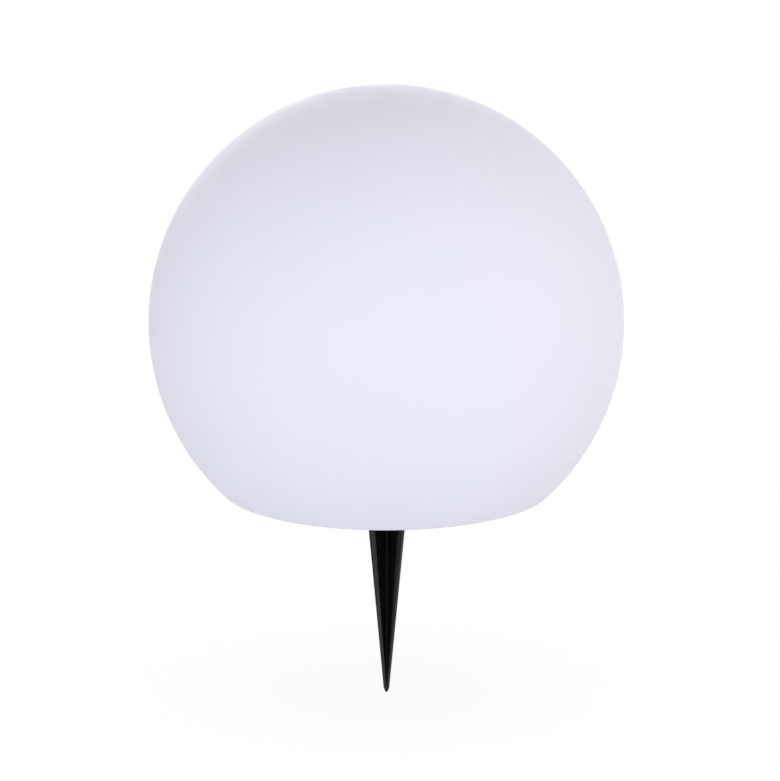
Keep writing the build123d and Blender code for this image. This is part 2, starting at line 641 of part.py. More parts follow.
def battery_holder_screws():
    """Countersunk screws in the floor of the cell holder."""
    depth = (SMALL_HEAD_DIAMETER - SMALL_SCREW_DIAMETER) / 2
    key = extrude(RegularPolygon(SMALL_SCREW_DIAMETER * KEY_SHARE, 6), depth)
    screw = countersunk_shape(SMALL_SCREW_DIAMETER, SMALL_SCREW_LENGTH, SMALL_HEAD_DIAMETER)
    screw = screw - Pos(0, 0, -depth) * key
    return copies(Pos(0, 0, holder_floor_top) * screw, holder_screw_places())


def contact_strip(points):
    """Folded metal strip in the holder, from its middle line in X and Z."""
    section = trace(Polyline(*points), CONTACT_THICKNESS)
    strip = extrude(Plane.XZ * section, CONTACT_WIDTH / 2, both=True)
    return Pos(0, cell_y, 0) * strip


def spring_contact_x():
    """Middle plane of the spring contact's upright part, on the left wall of the holder."""
    return -holder_half_length + HOLDER_WALL + CONTACT_THICKNESS / 2


def battery_spring_contact():
    """Folded leaf spring that presses on the plain end of the cell."""
    back_x = spring_contact_x()
    pad_x = cell_start_x - CONTACT_THICKNESS / 2
    pad_half = CELL_BUTTON_DIAMETER / 2
    return contact_strip([
        (back_x, contact_top), (back_x, holder_floor_top + PIECE_GAP),
        (pad_x, cell_z - pad_half), (pad_x, cell_z + pad_half),
    ])


def battery_plate_contact():
    """Flat plate behind the button end of the cell."""
    plate_x = cell_end_x + CONTACT_THICKNESS / 2
    return contact_strip([(plate_x, contact_top), (plate_x, holder_floor_top + PIECE_GAP)])


# ---------------------------------------------------------------- control board and leads
def control_board():
    """Circuit board in front of the hub, on four standoffs."""
    half = CONTROL_BOARD_LENGTH / 2
    board = block((-half, board_far_y, standoff_top), (half, board_near_y, control_board_top))
    hole = disc(SMALL_SCREW_DIAMETER / 2 + SHANK_CLEARANCE, standoff_top, control_board_top)
    return board - copies(hole, control_board_screw_places())


def board_components():
    """Controller, coil, two capacitors and a diode, standing on the control board."""
    controller = Box(*CONTROLLER_SIZE, align=UPRIGHT)
    coil = Box(*COIL_SIZE, align=UPRIGHT)
    coil = fillet(coil.edges().filter_by(Axis.Z), 2 * SMALL_ROUNDING)
    diode = Box(*DIODE_SIZE, align=UPRIGHT)
    capacitor = disc(CAPACITOR_DIAMETER / 2, 0, CAPACITOR_HEIGHT)
    capacitor = fillet(capacitor.edges().sort_by(Axis.Z)[-1], SMALL_ROUNDING)
    controller_x = -(CONTROLLER_SIZE[0] + COMPONENT_GAP) / 2
    coil_x = (COIL_SIZE[0] + COMPONENT_GAP) / 2
    row_depth = max(CONTROLLER_SIZE[1], COIL_SIZE[1])
    capacitor_x = board_screw_x / 2 + SMALL_HEAD_DIAMETER / 4
    capacitor_y = -(row_depth + CAPACITOR_DIAMETER) / 2 - PIECE_GAP
    diode_y = (row_depth + DIODE_SIZE[1] + COMPONENT_GAP) / 2
    pieces = [
        Pos(controller_x, 0, 0) * controller,
        Pos(coil_x, 0, 0) * coil,
        Pos(-capacitor_x, capacitor_y, 0) * capacitor,
        Pos(capacitor_x, capacitor_y, 0) * capacitor,
        Pos(0, diode_y, 0) * diode,
    ]
    return [Pos(0, board_y, control_board_top) * piece for piece in pieces]


def lamp_lead_x():
    """The two lamp leads, left and right of the middle of the grommet."""
    offset = (LEAD_DIAMETER + LEAD_GAP) / 2
    return (-offset, offset)


def led_leads():
    """Two leads from the front of the control board, through the grommet, to the lamp board."""
    pad_y = board_far_y + BOARD_SCREW_INSET
    run_start = control_board_top + 3 * LEAD_BEND
    run_end = lid_bottom - GROMMET_LIP_THICKNESS - 2 * LEAD_BEND
    loop_top = led_board_top + 2 * LEAD_BEND
    leads = []
    for x in lamp_lead_x():
        pad_x = 3 * x
        leads.append(lead([
            (pad_x, pad_y, control_board_top), (pad_x, pad_y, run_start),
            (x, grommet_y, run_end), (x, grommet_y, loop_top),
            (x, -led_screw_circle, loop_top), (x, -led_screw_circle, led_board_top),
        ]))
    return leads


def battery_leads():
    """Two leads from the tops of the contacts, round the hub, to the control board."""
    pad_y = board_near_y - 2 * BOARD_SCREW_INSET
    leads = []
    for contact_x, side in ((spring_contact_x(), -1), (cell_end_x + CONTACT_THICKNESS / 2, 1)):
        pad_x = side * board_screw_x / 2
        leads.append(lead([
            (contact_x, cell_y, contact_top), (contact_x, cell_y, cell_lead_height),
            (contact_x, 0, cell_lead_height), (pad_x, pad_y, cell_lead_height),
            (pad_x, pad_y, control_board_top),
        ]))
    return leads


def panel_leads(angle, terminal_top, side):
    """Two leads from a switch or socket in the floor to its side of the control board."""
    height = terminal_top + 2 * LEAD_BEND
    pad_x = side * (board_screw_x - PIECE_GAP)
    leads = []
    for end in (-1, 1):
        radius = panel_radius + end * TERMINAL_SPACING / 2
        start_x = radius * cos(radians(angle))
        start_y = radius * sin(radians(angle))
        pad_y = board_y - end * TERMINAL_SPACING / 2
        leads.append(lead([
            (start_x, start_y, terminal_top), (start_x, start_y, height),
            (pad_x, pad_y, height), (pad_x, pad_y, control_board_top),
        ]))
    return leads


# ---------------------------------------------------------------- push switch
def switch_body():
    """Bezel, threaded barrel and terminals of the push switch."""
    barrel_radius = SWITCH_DIAMETER / 2
    barrel_top = floor_bottom + SWITCH_DEPTH
    bezel = disc(barrel_radius + BEZEL_WIDTH, bezel_bottom, bezel_top)
    bezel = fillet(bezel.edges().sort_by(Axis.Z)[0], SMALL_ROUNDING)
    bore = disc(button_bore_radius, bezel_bottom, bezel_top)
    cavity_top = bezel_top + BUTTON_LIP_THICKNESS + BUTTON_TRAVEL + SLIDE_CLEARANCE
    cavity = disc(button_lip_radius + SLIDE_CLEARANCE, bezel_top, cavity_top)
    body = bezel + disc(barrel_radius, bezel_bottom, barrel_top) - bore - cavity
    return panel_place(BUTTON_ANGLE) * (body + terminals(barrel_top))


def power_button():
    """Push button, held in the bezel by its lip."""
    cap = disc(button_radius, bezel_bottom - BUTTON_PROUD, bezel_top)
    cap = fillet(cap.edges().sort_by(Axis.Z)[0], SMALL_ROUNDING)
    lip = disc(button_lip_radius, bezel_top, bezel_top + BUTTON_LIP_THICKNESS)
    return panel_place(BUTTON_ANGLE) * (cap + lip)


def switch_seal():
    """Rubber ring between the bezel and the floor of the cup."""
    outer = SWITCH_DIAMETER / 2 + BEZEL_WIDTH - SEAL_SETBACK
    return panel_place(BUTTON_ANGLE) * ring(outer, SWITCH_DIAMETER / 2, bezel_top, floor_bottom)


# ---------------------------------------------------------------- charging socket and flap
def charge_socket():
    """Flange, threaded barrel, bore with its centre pin, and terminals."""
    barrel_top = port_face_z + PORT_DEPTH
    bore_top = port_face_z + PORT_BORE_DEPTH
    flange = disc(PORT_DIAMETER / 2 + PORT_FLANGE_WIDTH, port_face_z, floor_bottom)
    barrel = disc(PORT_DIAMETER / 2, port_face_z, barrel_top)
    bore = disc(PORT_BORE_DIAMETER / 2, port_face_z, bore_top)
    pin = disc(PORT_PIN_DIAMETER / 2, port_face_z + PORT_PIN_SETBACK, bore_top)
    pin = fillet(pin.edges().sort_by(Axis.Z)[0], PORT_PIN_DIAMETER / 4)
    body = flange + barrel - bore + pin
    return panel_place(PORT_ANGLE) * (body + terminals(barrel_top))


def port_flap():
    """Rubber flap with a short plug, a pull tab towards the spike and half of its web."""
    bottom = hinge_z - FLAP_THICKNESS
    cover = disc(flap_radius, bottom, hinge_z)
    tab = block((-flap_radius - FLAP_TAB_LENGTH, -FLAP_TAB_WIDTH / 2, bottom),
                (0, FLAP_TAB_WIDTH / 2, hinge_z))
    tab_corners = tab.edges().filter_by(Axis.Z).sort_by(Axis.X)[:2]
    tab = fillet(tab_corners, 2 * SMALL_ROUNDING)
    web = block((0, -ANCHOR_WIDTH / 2, hinge_z - FLAP_WEB_THICKNESS),
                (hinge_offset - WEB_SETBACK, ANCHOR_WIDTH / 2, hinge_z))
    plug = disc(PORT_BORE_DIAMETER / 2 - PLUG_CLEARANCE, hinge_z, hinge_z + FLAP_PLUG_LENGTH)
    plug = fillet(plug.edges().sort_by(Axis.Z)[-1], SMALL_ROUNDING)
    return panel_place(PORT_ANGLE) * (cover + tab + web + plug)


def port_flap_anchor():
    """Fixed end of the flap, held by a barbed stem in the floor of the cup."""
    head = block((-ANCHOR_LENGTH / 2, -ANCHOR_WIDTH / 2, floor_bottom - FLAP_THICKNESS),
                 (ANCHOR_LENGTH / 2, ANCHOR_WIDTH / 2, floor_bottom))
    stem_radius = ANCHOR_STEM_DIAMETER / 2
    barb_top = floor_top + 3 * ANCHOR_BARB
    stem = disc(stem_radius, floor_bottom, barb_top)
    barb = disc(stem_radius + ANCHOR_BARB, floor_top, barb_top)
    barb = chamfer(barb.edges().sort_by(Axis.Z)[-1], ANCHOR_BARB)
    return panel_place(PORT_ANGLE) * Pos(anchor_offset, 0, 0) * (head + stem + barb)


# ---------------------------------------------------------------- ground spike
def fin_section(reach, thickness, height):
    """Cross of two plates with rounded valleys and edges, at one height."""
    cross = Rectangle(2 * reach, thickness) + Rectangle(thickness, 2 * reach)
    rounding = min(thickness / 6, (reach - thickness / 2) / 3)
    return Pos(0, 0, height) * fillet(cross.vertices(), rounding)


def ground_spike():
    """Peg, collar and four tapering fins with a blunt point, in one moulding."""
    collar_bottom = flange_bottom - COLLAR_THICKNESS
    fin_end = SPIKE_POINT_LENGTH - SPIKE_LENGTH
    top = fin_section(FIN_TOP_REACH, FIN_TOP_THICKNESS, collar_bottom)
    end = fin_section(FIN_END_REACH, FIN_END_THICKNESS, fin_end)
    point = fin_section(FIN_POINT_REACH, FIN_POINT_THICKNESS, -SPIKE_LENGTH)
    fins = loft([top, end], ruled=True) + loft([end, point], ruled=True)

    collar = disc(collar_radius, collar_bottom, flange_bottom)
    collar = fillet(collar.edges(), SMALL_ROUNDING)
    peg_top = flange_bottom + PEG_LENGTH
    peg = disc(peg_radius, flange_bottom, peg_top)
    peg = chamfer(peg.edges().sort_by(Axis.Z)[-1], PEG_WALL / 3)
    peg = peg - disc(peg_radius - PEG_WALL, flange_bottom, peg_top)
    return Rot(0, 0, FIN_ANGLE) * fins + collar + peg


# ---------------------------------------------------------------- the whole light
def all_nodes():
    """Every node by name, each one solid or a list of separate solids."""
    return {
        "globe_shell": globe_shell(),
        "threaded_inserts": threaded_inserts(),
        "base_housing": base_housing(),
        "base_gasket": base_gasket(),
        "flange_screws": flange_screws(),
        "screw_washers": screw_washers(),
        "housing_lid": housing_lid(),
        "lid_gasket": lid_gasket(),
        "lid_screws": closing_screws(lid_top, around(LID_SCREW_COUNT, lid_screw_circle)),
        "led_board": led_board(),
        "led_chips": led_chips(),
        "led_board_screws": small_screws(led_board_top, led_screw_places()),
        "led_dome": led_dome(),
        "dome_seal": dome_seal(),
        "dome_screws": closing_screws(dome_flange_top, dome_screw_places()),
        "lead_grommet": lead_grommet(),
        "led_leads": led_leads(),
        "battery_cell": battery_cell(),
        "battery_holder": battery_holder(),
        "battery_holder_screws": battery_holder_screws(),
        "battery_spring_contact": battery_spring_contact(),
        "battery_plate_contact": battery_plate_contact(),
        "battery_leads": battery_leads(),
        "control_board": control_board(),
        "board_components": board_components(),
        "control_board_screws": small_screws(control_board_top, control_board_screw_places()),
        "switch_body": switch_body(),
        "switch_nut": panel_place(BUTTON_ANGLE) * hexagon_nut(SWITCH_DIAMETER, floor_top),
        "switch_seal": switch_seal(),
        "switch_leads": panel_leads(BUTTON_ANGLE, switch_terminal_top, -1),
        "power_button": power_button(),
        "charge_socket": charge_socket(),
        "socket_nut": panel_place(PORT_ANGLE) * hexagon_nut(PORT_DIAMETER, floor_top),
        "socket_leads": panel_leads(PORT_ANGLE, socket_terminal_top, 1),
        "port_flap": port_flap(),
        "port_flap_anchor": port_flap_anchor(),
        "ground_spike": ground_spike(),
    }


def save(name, made):
    """Write one node as parts/NAME.step."""
    solids = made if isinstance(made, list) else [made]
    shape = solids[0] if len(solids) == 1 else Compound(children=solids)
    export_step(shape, f"parts/{name}.step")


os.makedirs("parts", exist_ok=True)
for node, made in all_nodes().items():
    save(node, made)
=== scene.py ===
"""Looks of the garden globe light: finishes, small pieces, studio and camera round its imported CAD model."""

import logging
from collections.abc import Callable
from dataclasses import dataclass, field
from enum import Enum
from functools import cache
from math import atan, cos, hypot, pi, prod, radians, sin, tan

import bmesh
import bpy
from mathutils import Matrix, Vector


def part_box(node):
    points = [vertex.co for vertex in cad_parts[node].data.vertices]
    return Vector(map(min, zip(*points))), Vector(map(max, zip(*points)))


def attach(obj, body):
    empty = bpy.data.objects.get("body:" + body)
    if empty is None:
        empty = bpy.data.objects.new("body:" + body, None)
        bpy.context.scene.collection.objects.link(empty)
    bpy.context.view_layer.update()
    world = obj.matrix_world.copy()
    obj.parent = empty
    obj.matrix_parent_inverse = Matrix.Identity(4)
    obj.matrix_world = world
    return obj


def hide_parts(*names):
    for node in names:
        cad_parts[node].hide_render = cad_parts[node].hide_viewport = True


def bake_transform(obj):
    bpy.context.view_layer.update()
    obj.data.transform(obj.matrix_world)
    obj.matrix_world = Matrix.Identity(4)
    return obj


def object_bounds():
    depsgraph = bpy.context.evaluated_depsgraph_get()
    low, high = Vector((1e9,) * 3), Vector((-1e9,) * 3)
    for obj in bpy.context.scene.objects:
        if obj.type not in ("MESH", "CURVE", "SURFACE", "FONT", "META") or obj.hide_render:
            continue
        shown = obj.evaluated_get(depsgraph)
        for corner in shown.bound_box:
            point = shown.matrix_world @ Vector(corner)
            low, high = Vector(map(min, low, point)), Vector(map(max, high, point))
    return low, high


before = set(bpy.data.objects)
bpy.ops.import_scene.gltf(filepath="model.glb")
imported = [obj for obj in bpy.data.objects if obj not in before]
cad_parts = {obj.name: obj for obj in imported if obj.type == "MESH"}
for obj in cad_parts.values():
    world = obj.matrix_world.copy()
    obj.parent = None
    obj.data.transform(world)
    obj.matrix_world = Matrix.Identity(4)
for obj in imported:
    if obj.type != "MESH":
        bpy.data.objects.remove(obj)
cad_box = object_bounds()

log = logging.getLogger("globe_light")

MM = 0.001
UP = Vector((0.0, 0.0, 1.0))

# Sockets of a Mix node that mixes colours. Several of them share a name, so they're told by number.
MIX_SHARE, MIX_FROM, MIX_TO, MIX_OUT = 0, 6, 7, 2

Colour = tuple[float, float, float, float]
Pair = tuple[float, float]
Triple = tuple[float, float, float]
Socket = bpy.types.NodeSocket
Piece = bpy.types.Object


# ---------------------------------------------------------------- colours and node trees
def linear(hex_colour: str) -> Colour:
    """Turn an sRGB hex value into the linear colour that a node takes.

    Args:
        hex_colour: value such as "#ECECF8".

    Returns:
        Linear red, green and blue, and an alpha of one.
    """
    channels = []
    for start in (1, 3, 5):
        value = int(hex_colour[start:start + 2], 16) / 255
        channels.append(value / 12.92 if value <= 0.04045 else ((value + 0.055) / 1.055) ** 2.4)
    return (channels[0], channels[1], channels[2], 1.0)


def per_mm(size_mm: float) -> float:
    """Texture scale that makes one feature the given number of millimetres across."""
    return 1.0 / (size_mm * MM)


class NodeWork:
    """Node tree of a material or world while it is put together."""

    def __init__(self, tree: bpy.types.NodeTree) -> None:
        """Start work on a tree."""
        self.tree = tree

    def add(self, kind: str, values: dict | None = None, links: dict | None = None,
            **settings: object) -> bpy.types.Node:
        """Add a node with its settings and links.

        Args:
            kind: Blender's name for the node.
            values: input name or number to its value.
            links: input name or number to the socket that feeds it.
            **settings: properties of the node itself.

        Returns:
            The new node.
        """
        node = self.tree.nodes.new(kind)
        for name, value in settings.items():
            setattr(node, name, value)
        for name, value in (values or {}).items():
            node.inputs[name].default_value = value
        for name, socket in (links or {}).items():
            self.tree.links.new(socket, node.inputs[name])
        return node


class Recipe(NodeWork):
    """Material whose shader is fed from object coordinates."""

    def __init__(self, name: str) -> None:
        """Start a material with its shader and its object coordinates.

        Args:
            name: name of the material.
        """
        self.material = bpy.data.materials.new(name)
        self.material.use_nodes = True
        super().__init__(self.material.node_tree)
        self.shader = self.tree.nodes["Principled BSDF"]
        self.place = self.add("ShaderNodeTexCoord").outputs["Object"]

    def feed(self, sockets: dict[str, Socket]) -> None:
        """Link sockets to inputs of the shader."""
        for name, socket in sockets.items():
            self.tree.links.new(socket, self.shader.inputs[name])

    def fix(self, values: dict) -> None:
        """Set inputs of the shader that are the same all over the surface."""
        for name, value in values.items():
            self.shader.inputs[name].default_value = value

    def grain(self, size_mm: float, detail: float, depth_mm: float, strength: float = 1.0,
              along: Socket | None = None) -> Socket:
        """Press an unevenness into the surface.

        Args:
            size_mm: how far apart its bumps are.
            detail: steps of finer bumps on them.
            depth_mm: how deep they are.
            strength: share of the depth that shows.
            along: coordinates that it follows, the piece's own if none are given.

        Returns:
            Socket with its height, from zero to one.
        """
        bumps = self.add("ShaderNodeTexNoise", {"Scale": per_mm(size_mm), "Detail": detail},
                         {"Vector": self.place if along is None else along})
        relief = self.add("ShaderNodeBump", {"Strength": strength, "Distance": depth_mm * MM},
                          {"Height": bumps.outputs[0]})
        self.feed({"Normal": relief.outputs[0]})
        return bumps.outputs[0]

    def patchy_gloss(self, size_mm: float, detail: float, smoothest: float, roughest: float,
                     span: Pair = (0.3, 0.7)) -> None:
        """Vary the roughness in patches.

        Args:
            size_mm: how far apart the patches are.
            detail: steps of finer patches in them.
            smoothest: least roughness.
            roughest: most roughness.
            span: values of the noise between which the roughness goes from least to most.
        """
        patches = self.add("ShaderNodeTexNoise", {"Scale": per_mm(size_mm), "Detail": detail},
                           {"Vector": self.place})
        gloss = self.add("ShaderNodeMapRange", {"From Min": span[0], "From Max": span[1],
                                                "To Min": smoothest, "To Max": roughest},
                         {"Value": patches.outputs[0]})
        self.feed({"Roughness": gloss.outputs[0]})

    def radius(self, across: Triple = (1.0, 1.0, 0.0), place: Socket | None = None) -> Socket:
        """Measure how far the surface is from a line through the origin.

        Args:
            across: one for each axis across the line, and zero for the one along it.
            place: coordinates to measure in, the piece's own if none are given.

        Returns:
            Socket with the distance, in metres.
        """
        flat = self.add("ShaderNodeVectorMath", {1: across}, {0: self.place if place is None else place},
                        operation="MULTIPLY")
        length = self.add("ShaderNodeVectorMath", None, {0: flat.outputs[0]}, operation="LENGTH")
        return length.outputs["Value"]


# ---------------------------------------------------------------- finishes
@dataclass(frozen=True)
class Finish:
    """A named finish of one colour, which knows how to work a surface."""

    name: str
    colour: str

    def work(self, recipe: Recipe) -> None:
        """Work the surface, which each kind of finish does in its own way."""
        raise NotImplementedError


@cache
def material_of(finish: Finish) -> bpy.types.Material:
    """Make the material of a finish, once however many pieces wear it.

    Args:
        finish: the finish.

    Returns:
        Its material.
    """
    recipe = Recipe(finish.name)
    finish.work(recipe)
    return recipe.material


class ToolSurface(Enum):
    """How a mould's surface was made: grain across and deep in mm, least and most roughness."""

    # The faint waviness of an unpolished rotating mould, at its real spacing.
    ROTATION_MOULDED = (2.4, 0.010, 0.50, 0.60)
    POLISHED = (3.0, 0.002, 0.10, 0.17)
    # A satin tool's grain is about 0.1 mm across, too fine to show, so it's drawn seven times as coarse.
    SATIN = (0.7, 0.006, 0.30, 0.40)
    # Spark erosion leaves pits of about 0.1 mm, too fine to show, so they're drawn five times as coarse.
    SPARK_ERODED = (0.55, 0.030, 0.48, 0.62)


@dataclass(frozen=True)
class MouldedPlastic(Finish):
    """Thermoplastic with its mould's grain and the slight mottle of uneven cooling."""

    shade: str
    surface: ToolSurface
    mottle_mm: float
    ior: float
    milky: float = 0.0
    depth_of_milk_mm: float = 3.0

    def work(self, recipe: Recipe) -> None:
        """Mix two close shades, vary the gloss in patches and press in the mould's grain.

        Args:
            recipe: the material to work on.
        """
        grain_mm, grain_depth_mm, smoothest, roughest = self.surface.value
        mottle = recipe.add("ShaderNodeTexNoise",
                            {"Scale": per_mm(self.mottle_mm), "Detail": 3.0, "Roughness": 0.55},
                            {"Vector": recipe.place})
        tint = recipe.add("ShaderNodeMix", {MIX_FROM: linear(self.colour), MIX_TO: linear(self.shade)},
                          {MIX_SHARE: mottle.outputs[0]}, data_type="RGBA")
        recipe.patchy_gloss(self.mottle_mm / 4, 4.0, smoothest, roughest)
        recipe.grain(grain_mm, 2.0, grain_depth_mm)
        recipe.feed({"Base Color": tint.outputs[MIX_OUT]})
        recipe.fix({"IOR": self.ior})
        if self.milky:
            recipe.fix({
                "Subsurface Weight": self.milky,
                "Subsurface Radius": (1.0, 1.0, 1.0),
                "Subsurface Scale": self.depth_of_milk_mm * MM,
            })


@dataclass(frozen=True)
class SpikeMoulding(Finish):
    """Polished moulding with a painted highlight: a paler strip along each fin's outer edge, where rounded
    edges would catch the light.
    """

    edge_highlight: str
    top_reach_mm: float
    end_reach_mm: float
    top_z_mm: float
    end_z_mm: float
    edge_highlight_width_mm: float = 0.35
    rubbing_mm: float = 2.0

    def work(self, recipe: Recipe) -> None:
        """Paint a highlight as a paler strip along each fin's edge, broken up in streaks.

        Args:
            recipe: the material to work on.
        """
        apart = recipe.add("ShaderNodeSeparateXYZ", None, {0: recipe.place})
        reach = recipe.add("ShaderNodeMapRange", {
            "From Min": self.end_z_mm * MM, "From Max": self.top_z_mm * MM,
            "To Min": self.end_reach_mm * MM, "To Max": self.top_reach_mm * MM,
        }, {"Value": apart.outputs["Z"]}, clamp=False)
        from_edge = recipe.add("ShaderNodeMath", None, {0: reach.outputs[0], 1: recipe.radius()},
                               operation="SUBTRACT")
        near_edge = recipe.add("ShaderNodeMapRange", {
            "From Min": 0.0, "From Max": self.edge_highlight_width_mm * MM, "To Min": 1.0, "To Max": 0.0,
        }, {"Value": from_edge.outputs[0]})
        drawn_out = recipe.add("ShaderNodeMapping", {"Scale": (1.0, 1.0, 0.25)}, {"Vector": recipe.place})
        rubbing = recipe.grain(self.rubbing_mm, 5.0, depth_mm=0.004, along=drawn_out.outputs[0])
        strength = recipe.add("ShaderNodeMapRange", {"From Min": 0.3, "From Max": 0.6, "To Min": 0.45},
                              {"Value": rubbing})
        # Share of the painted highlight: full at the fin's edge, fading across the strip, and broken up by
        # the streaky noise.
        painted_highlight = recipe.add("ShaderNodeMath", None, {0: near_edge.outputs[0], 1: strength.outputs[0]},
                          operation="MULTIPLY")
        tint = recipe.add("ShaderNodeMix", {MIX_FROM: linear(self.colour), MIX_TO: linear(self.edge_highlight)},
                          {MIX_SHARE: painted_highlight.outputs[0]}, data_type="RGBA")
        gloss = recipe.add("ShaderNodeMapRange", {"To Min": 0.13, "To Max": 0.34},
                           {"Value": painted_highlight.outputs[0]})
        recipe.feed({"Base Color": tint.outputs[MIX_OUT], "Roughness": gloss.outputs[0]})
        recipe.fix({"IOR": 1.49, "Specular IOR Level": 0.2})


@dataclass(frozen=True)
class Rubber(Finish):
    """Cured rubber with a pale bloom in patches and a fine dull grain."""

    bloom: str
    grain_mm: float
    roughness: float
    bloom_mm: float = 9.0

    def work(self, recipe: Recipe) -> None:
        """Spread the bloom in patches over a grain.

        Args:
            recipe: the material to work on.
        """
        bloom = recipe.add("ShaderNodeTexNoise",
                           {"Scale": per_mm(self.bloom_mm), "Detail": 5.0, "Roughness": 0.6},
                           {"Vector": recipe.place})
        patches = recipe.add("ShaderNodeMapRange", {"From Min": 0.42, "From Max": 0.72},
                             {"Value": bloom.outputs[0]})
        tint = recipe.add("ShaderNodeMix", {MIX_FROM: linear(self.colour), MIX_TO: linear(self.bloom)},
                          {MIX_SHARE: patches.outputs[0]}, data_type="RGBA")
        recipe.grain(self.grain_mm, 3.0, depth_mm=0.02)
        recipe.feed({"Base Color": tint.outputs[MIX_OUT]})
        recipe.fix({"Roughness": self.roughness, "IOR": 1.46})


class Working(Enum):
    """How a metal was worked: how close its marks lie along X, Y and Z, and their spacing in mm.

    The real marks are 0.05 to 0.1 mm apart, too fine to show, so they're drawn about four times
    as coarse.
    """

    TUMBLED = ((1.0, 1.0, 1.0), 0.35)
    TURNED = ((0.02, 0.02, 1.0), 0.3)
    ROLLED = ((1.0, 0.04, 1.0), 0.25)


@dataclass(frozen=True)
class Metal(Finish):
    """Bare or plated metal with the marks of its working."""

    working: Working
    smoothest: float
    roughest: float
    mark_depth_mm: float = 0.003
    dull_patch_mm: float = 6.0

    def work(self, recipe: Recipe) -> None:
        """Vary the gloss in patches and lay the marks along the way the metal was worked.

        Args:
            recipe: the material to work on.
        """
        stretch, spacing_mm = self.working.value
        run = recipe.add("ShaderNodeMapping", {"Scale": stretch}, {"Vector": recipe.place})
        recipe.grain(spacing_mm, 4.0, self.mark_depth_mm, along=run.outputs[0])
        recipe.patchy_gloss(self.dull_patch_mm, 3.0, self.smoothest, self.roughest)
        recipe.fix({"Base Color": linear(self.colour), "Metallic": 1.0})


@dataclass(frozen=True)
class FrostedPolycarbonate(Finish):
    """Clear polycarbonate moulded against a blasted tool, so light passes but no picture does.

    The blasting leaves pits of about 0.1 mm, too fine to show, so they're drawn five times as coarse.
    """

    roughness: float = 0.42
    pit_mm: float = 0.5
    clearness: float = 0.4

    def work(self, recipe: Recipe) -> None:
        """Blast the skin finely and let part of the light through.

        Args:
            recipe: the material to work on.
        """
        recipe.grain(self.pit_mm, 3.0, depth_mm=0.012)
        recipe.fix({
            "Base Color": linear(self.colour), "Transmission Weight": self.clearness,
            "Roughness": self.roughness, "IOR": 1.585,
        })


@dataclass(frozen=True)
class CoatedMetal(Finish):
    """A coat in two close shades, with metal that shows bare in places."""

    shade: str
    metal: str

    def coat(self, recipe: Recipe, share: Socket, bare: Socket) -> None:
        """Lay the coat and leave the metal's places bare.

        Args:
            recipe: the material to work on.
            share: share of the coat's second shade.
            bare: one where the metal shows, and zero elsewhere.
        """
        coat = recipe.add("ShaderNodeMix", {MIX_FROM: linear(self.colour), MIX_TO: linear(self.shade)},
                          {MIX_SHARE: share}, data_type="RGBA")
        tint = recipe.add("ShaderNodeMix", {MIX_TO: linear(self.metal)},
                          {MIX_SHARE: bare, MIX_FROM: coat.outputs[MIX_OUT]}, data_type="RGBA")
        recipe.feed({"Base Color": tint.outputs[MIX_OUT], "Metallic": bare})


@dataclass(frozen=True)
class LacqueredLampBoard(CoatedMetal):
    """White solder lacquer on a punched aluminium disc, bare round its edge."""

    edge_radius_mm: float
    edge_width_mm: float = 0.05
    peel_mm: float = 1.8

    def work(self, recipe: Recipe) -> None:
        """Lacquer the face with a slight orange peel and leave the punched rim bare.

        Args:
            recipe: the material to work on.
        """
        peel = recipe.grain(self.peel_mm, 2.0, depth_mm=0.006)
        bare = recipe.add("ShaderNodeMath", {1: (self.edge_radius_mm - self.edge_width_mm) * MM},
                          {0: recipe.radius()}, operation="GREATER_THAN")
        gloss = recipe.add("ShaderNodeMapRange", {"To Min": 0.28, "To Max": 0.4}, {"Value": peel})
        self.coat(recipe, peel, bare.outputs[0])
        recipe.feed({"Roughness": gloss.outputs[0]})


@dataclass(frozen=True)
class ShrinkSleeve(CoatedMetal):
    """Coloured shrink film round a steel can, drawn over the edges of its ends."""

    axis_mm: Triple
    bare_radius_mm: float
    crease_mm: float = 3.0

    def work(self, recipe: Recipe) -> None:
        """Crease the film and leave the middle of the can's ends bare.

        Args:
            recipe: the material to work on.
        """
        creases = recipe.grain(self.crease_mm, 4.0, depth_mm=0.05, strength=0.5)
        centred = recipe.add("ShaderNodeVectorMath", {1: tuple(value * MM for value in self.axis_mm)},
                             {0: recipe.place}, operation="SUBTRACT")
        radius = recipe.radius((0.0, 1.0, 1.0), centred.outputs[0])
        bare = recipe.add("ShaderNodeMath", {1: self.bare_radius_mm * MM}, {0: radius},
                          operation="LESS_THAN")
        self.coat(recipe, creases, bare.outputs[0])
        recipe.fix({"Roughness": 0.28})


@dataclass(frozen=True)
class BoardParts(CoatedMetal):
    """Black epoxy and ferrite parts, with the two capacitors in bare aluminium cans."""

    can_place_mm: Pair
    can_radius_mm: float
    grain_mm: float = 0.3

    def work(self, recipe: Recipe) -> None:
        """Turn the parts near the two capacitors' places to bare metal.

        Args:
            recipe: the material to work on.
        """
        grain = recipe.grain(self.grain_mm, 2.0, depth_mm=0.01, strength=0.5)
        flat = recipe.add("ShaderNodeVectorMath", {1: (1.0, 1.0, 0.0)}, {0: recipe.place},
                          operation="MULTIPLY")
        folded = recipe.add("ShaderNodeVectorMath", None, {0: flat.outputs[0]}, operation="ABSOLUTE")
        middle = (self.can_place_mm[0] * MM, self.can_place_mm[1] * MM, 0.0)
        away = recipe.add("ShaderNodeVectorMath", {1: middle}, {0: folded.outputs[0]},
                          operation="DISTANCE")
        can = recipe.add("ShaderNodeMath", {1: self.can_radius_mm * MM}, {0: away.outputs["Value"]},
                         operation="LESS_THAN")
        self.coat(recipe, grain, can.outputs[0])
        recipe.fix({"Roughness": 0.4})


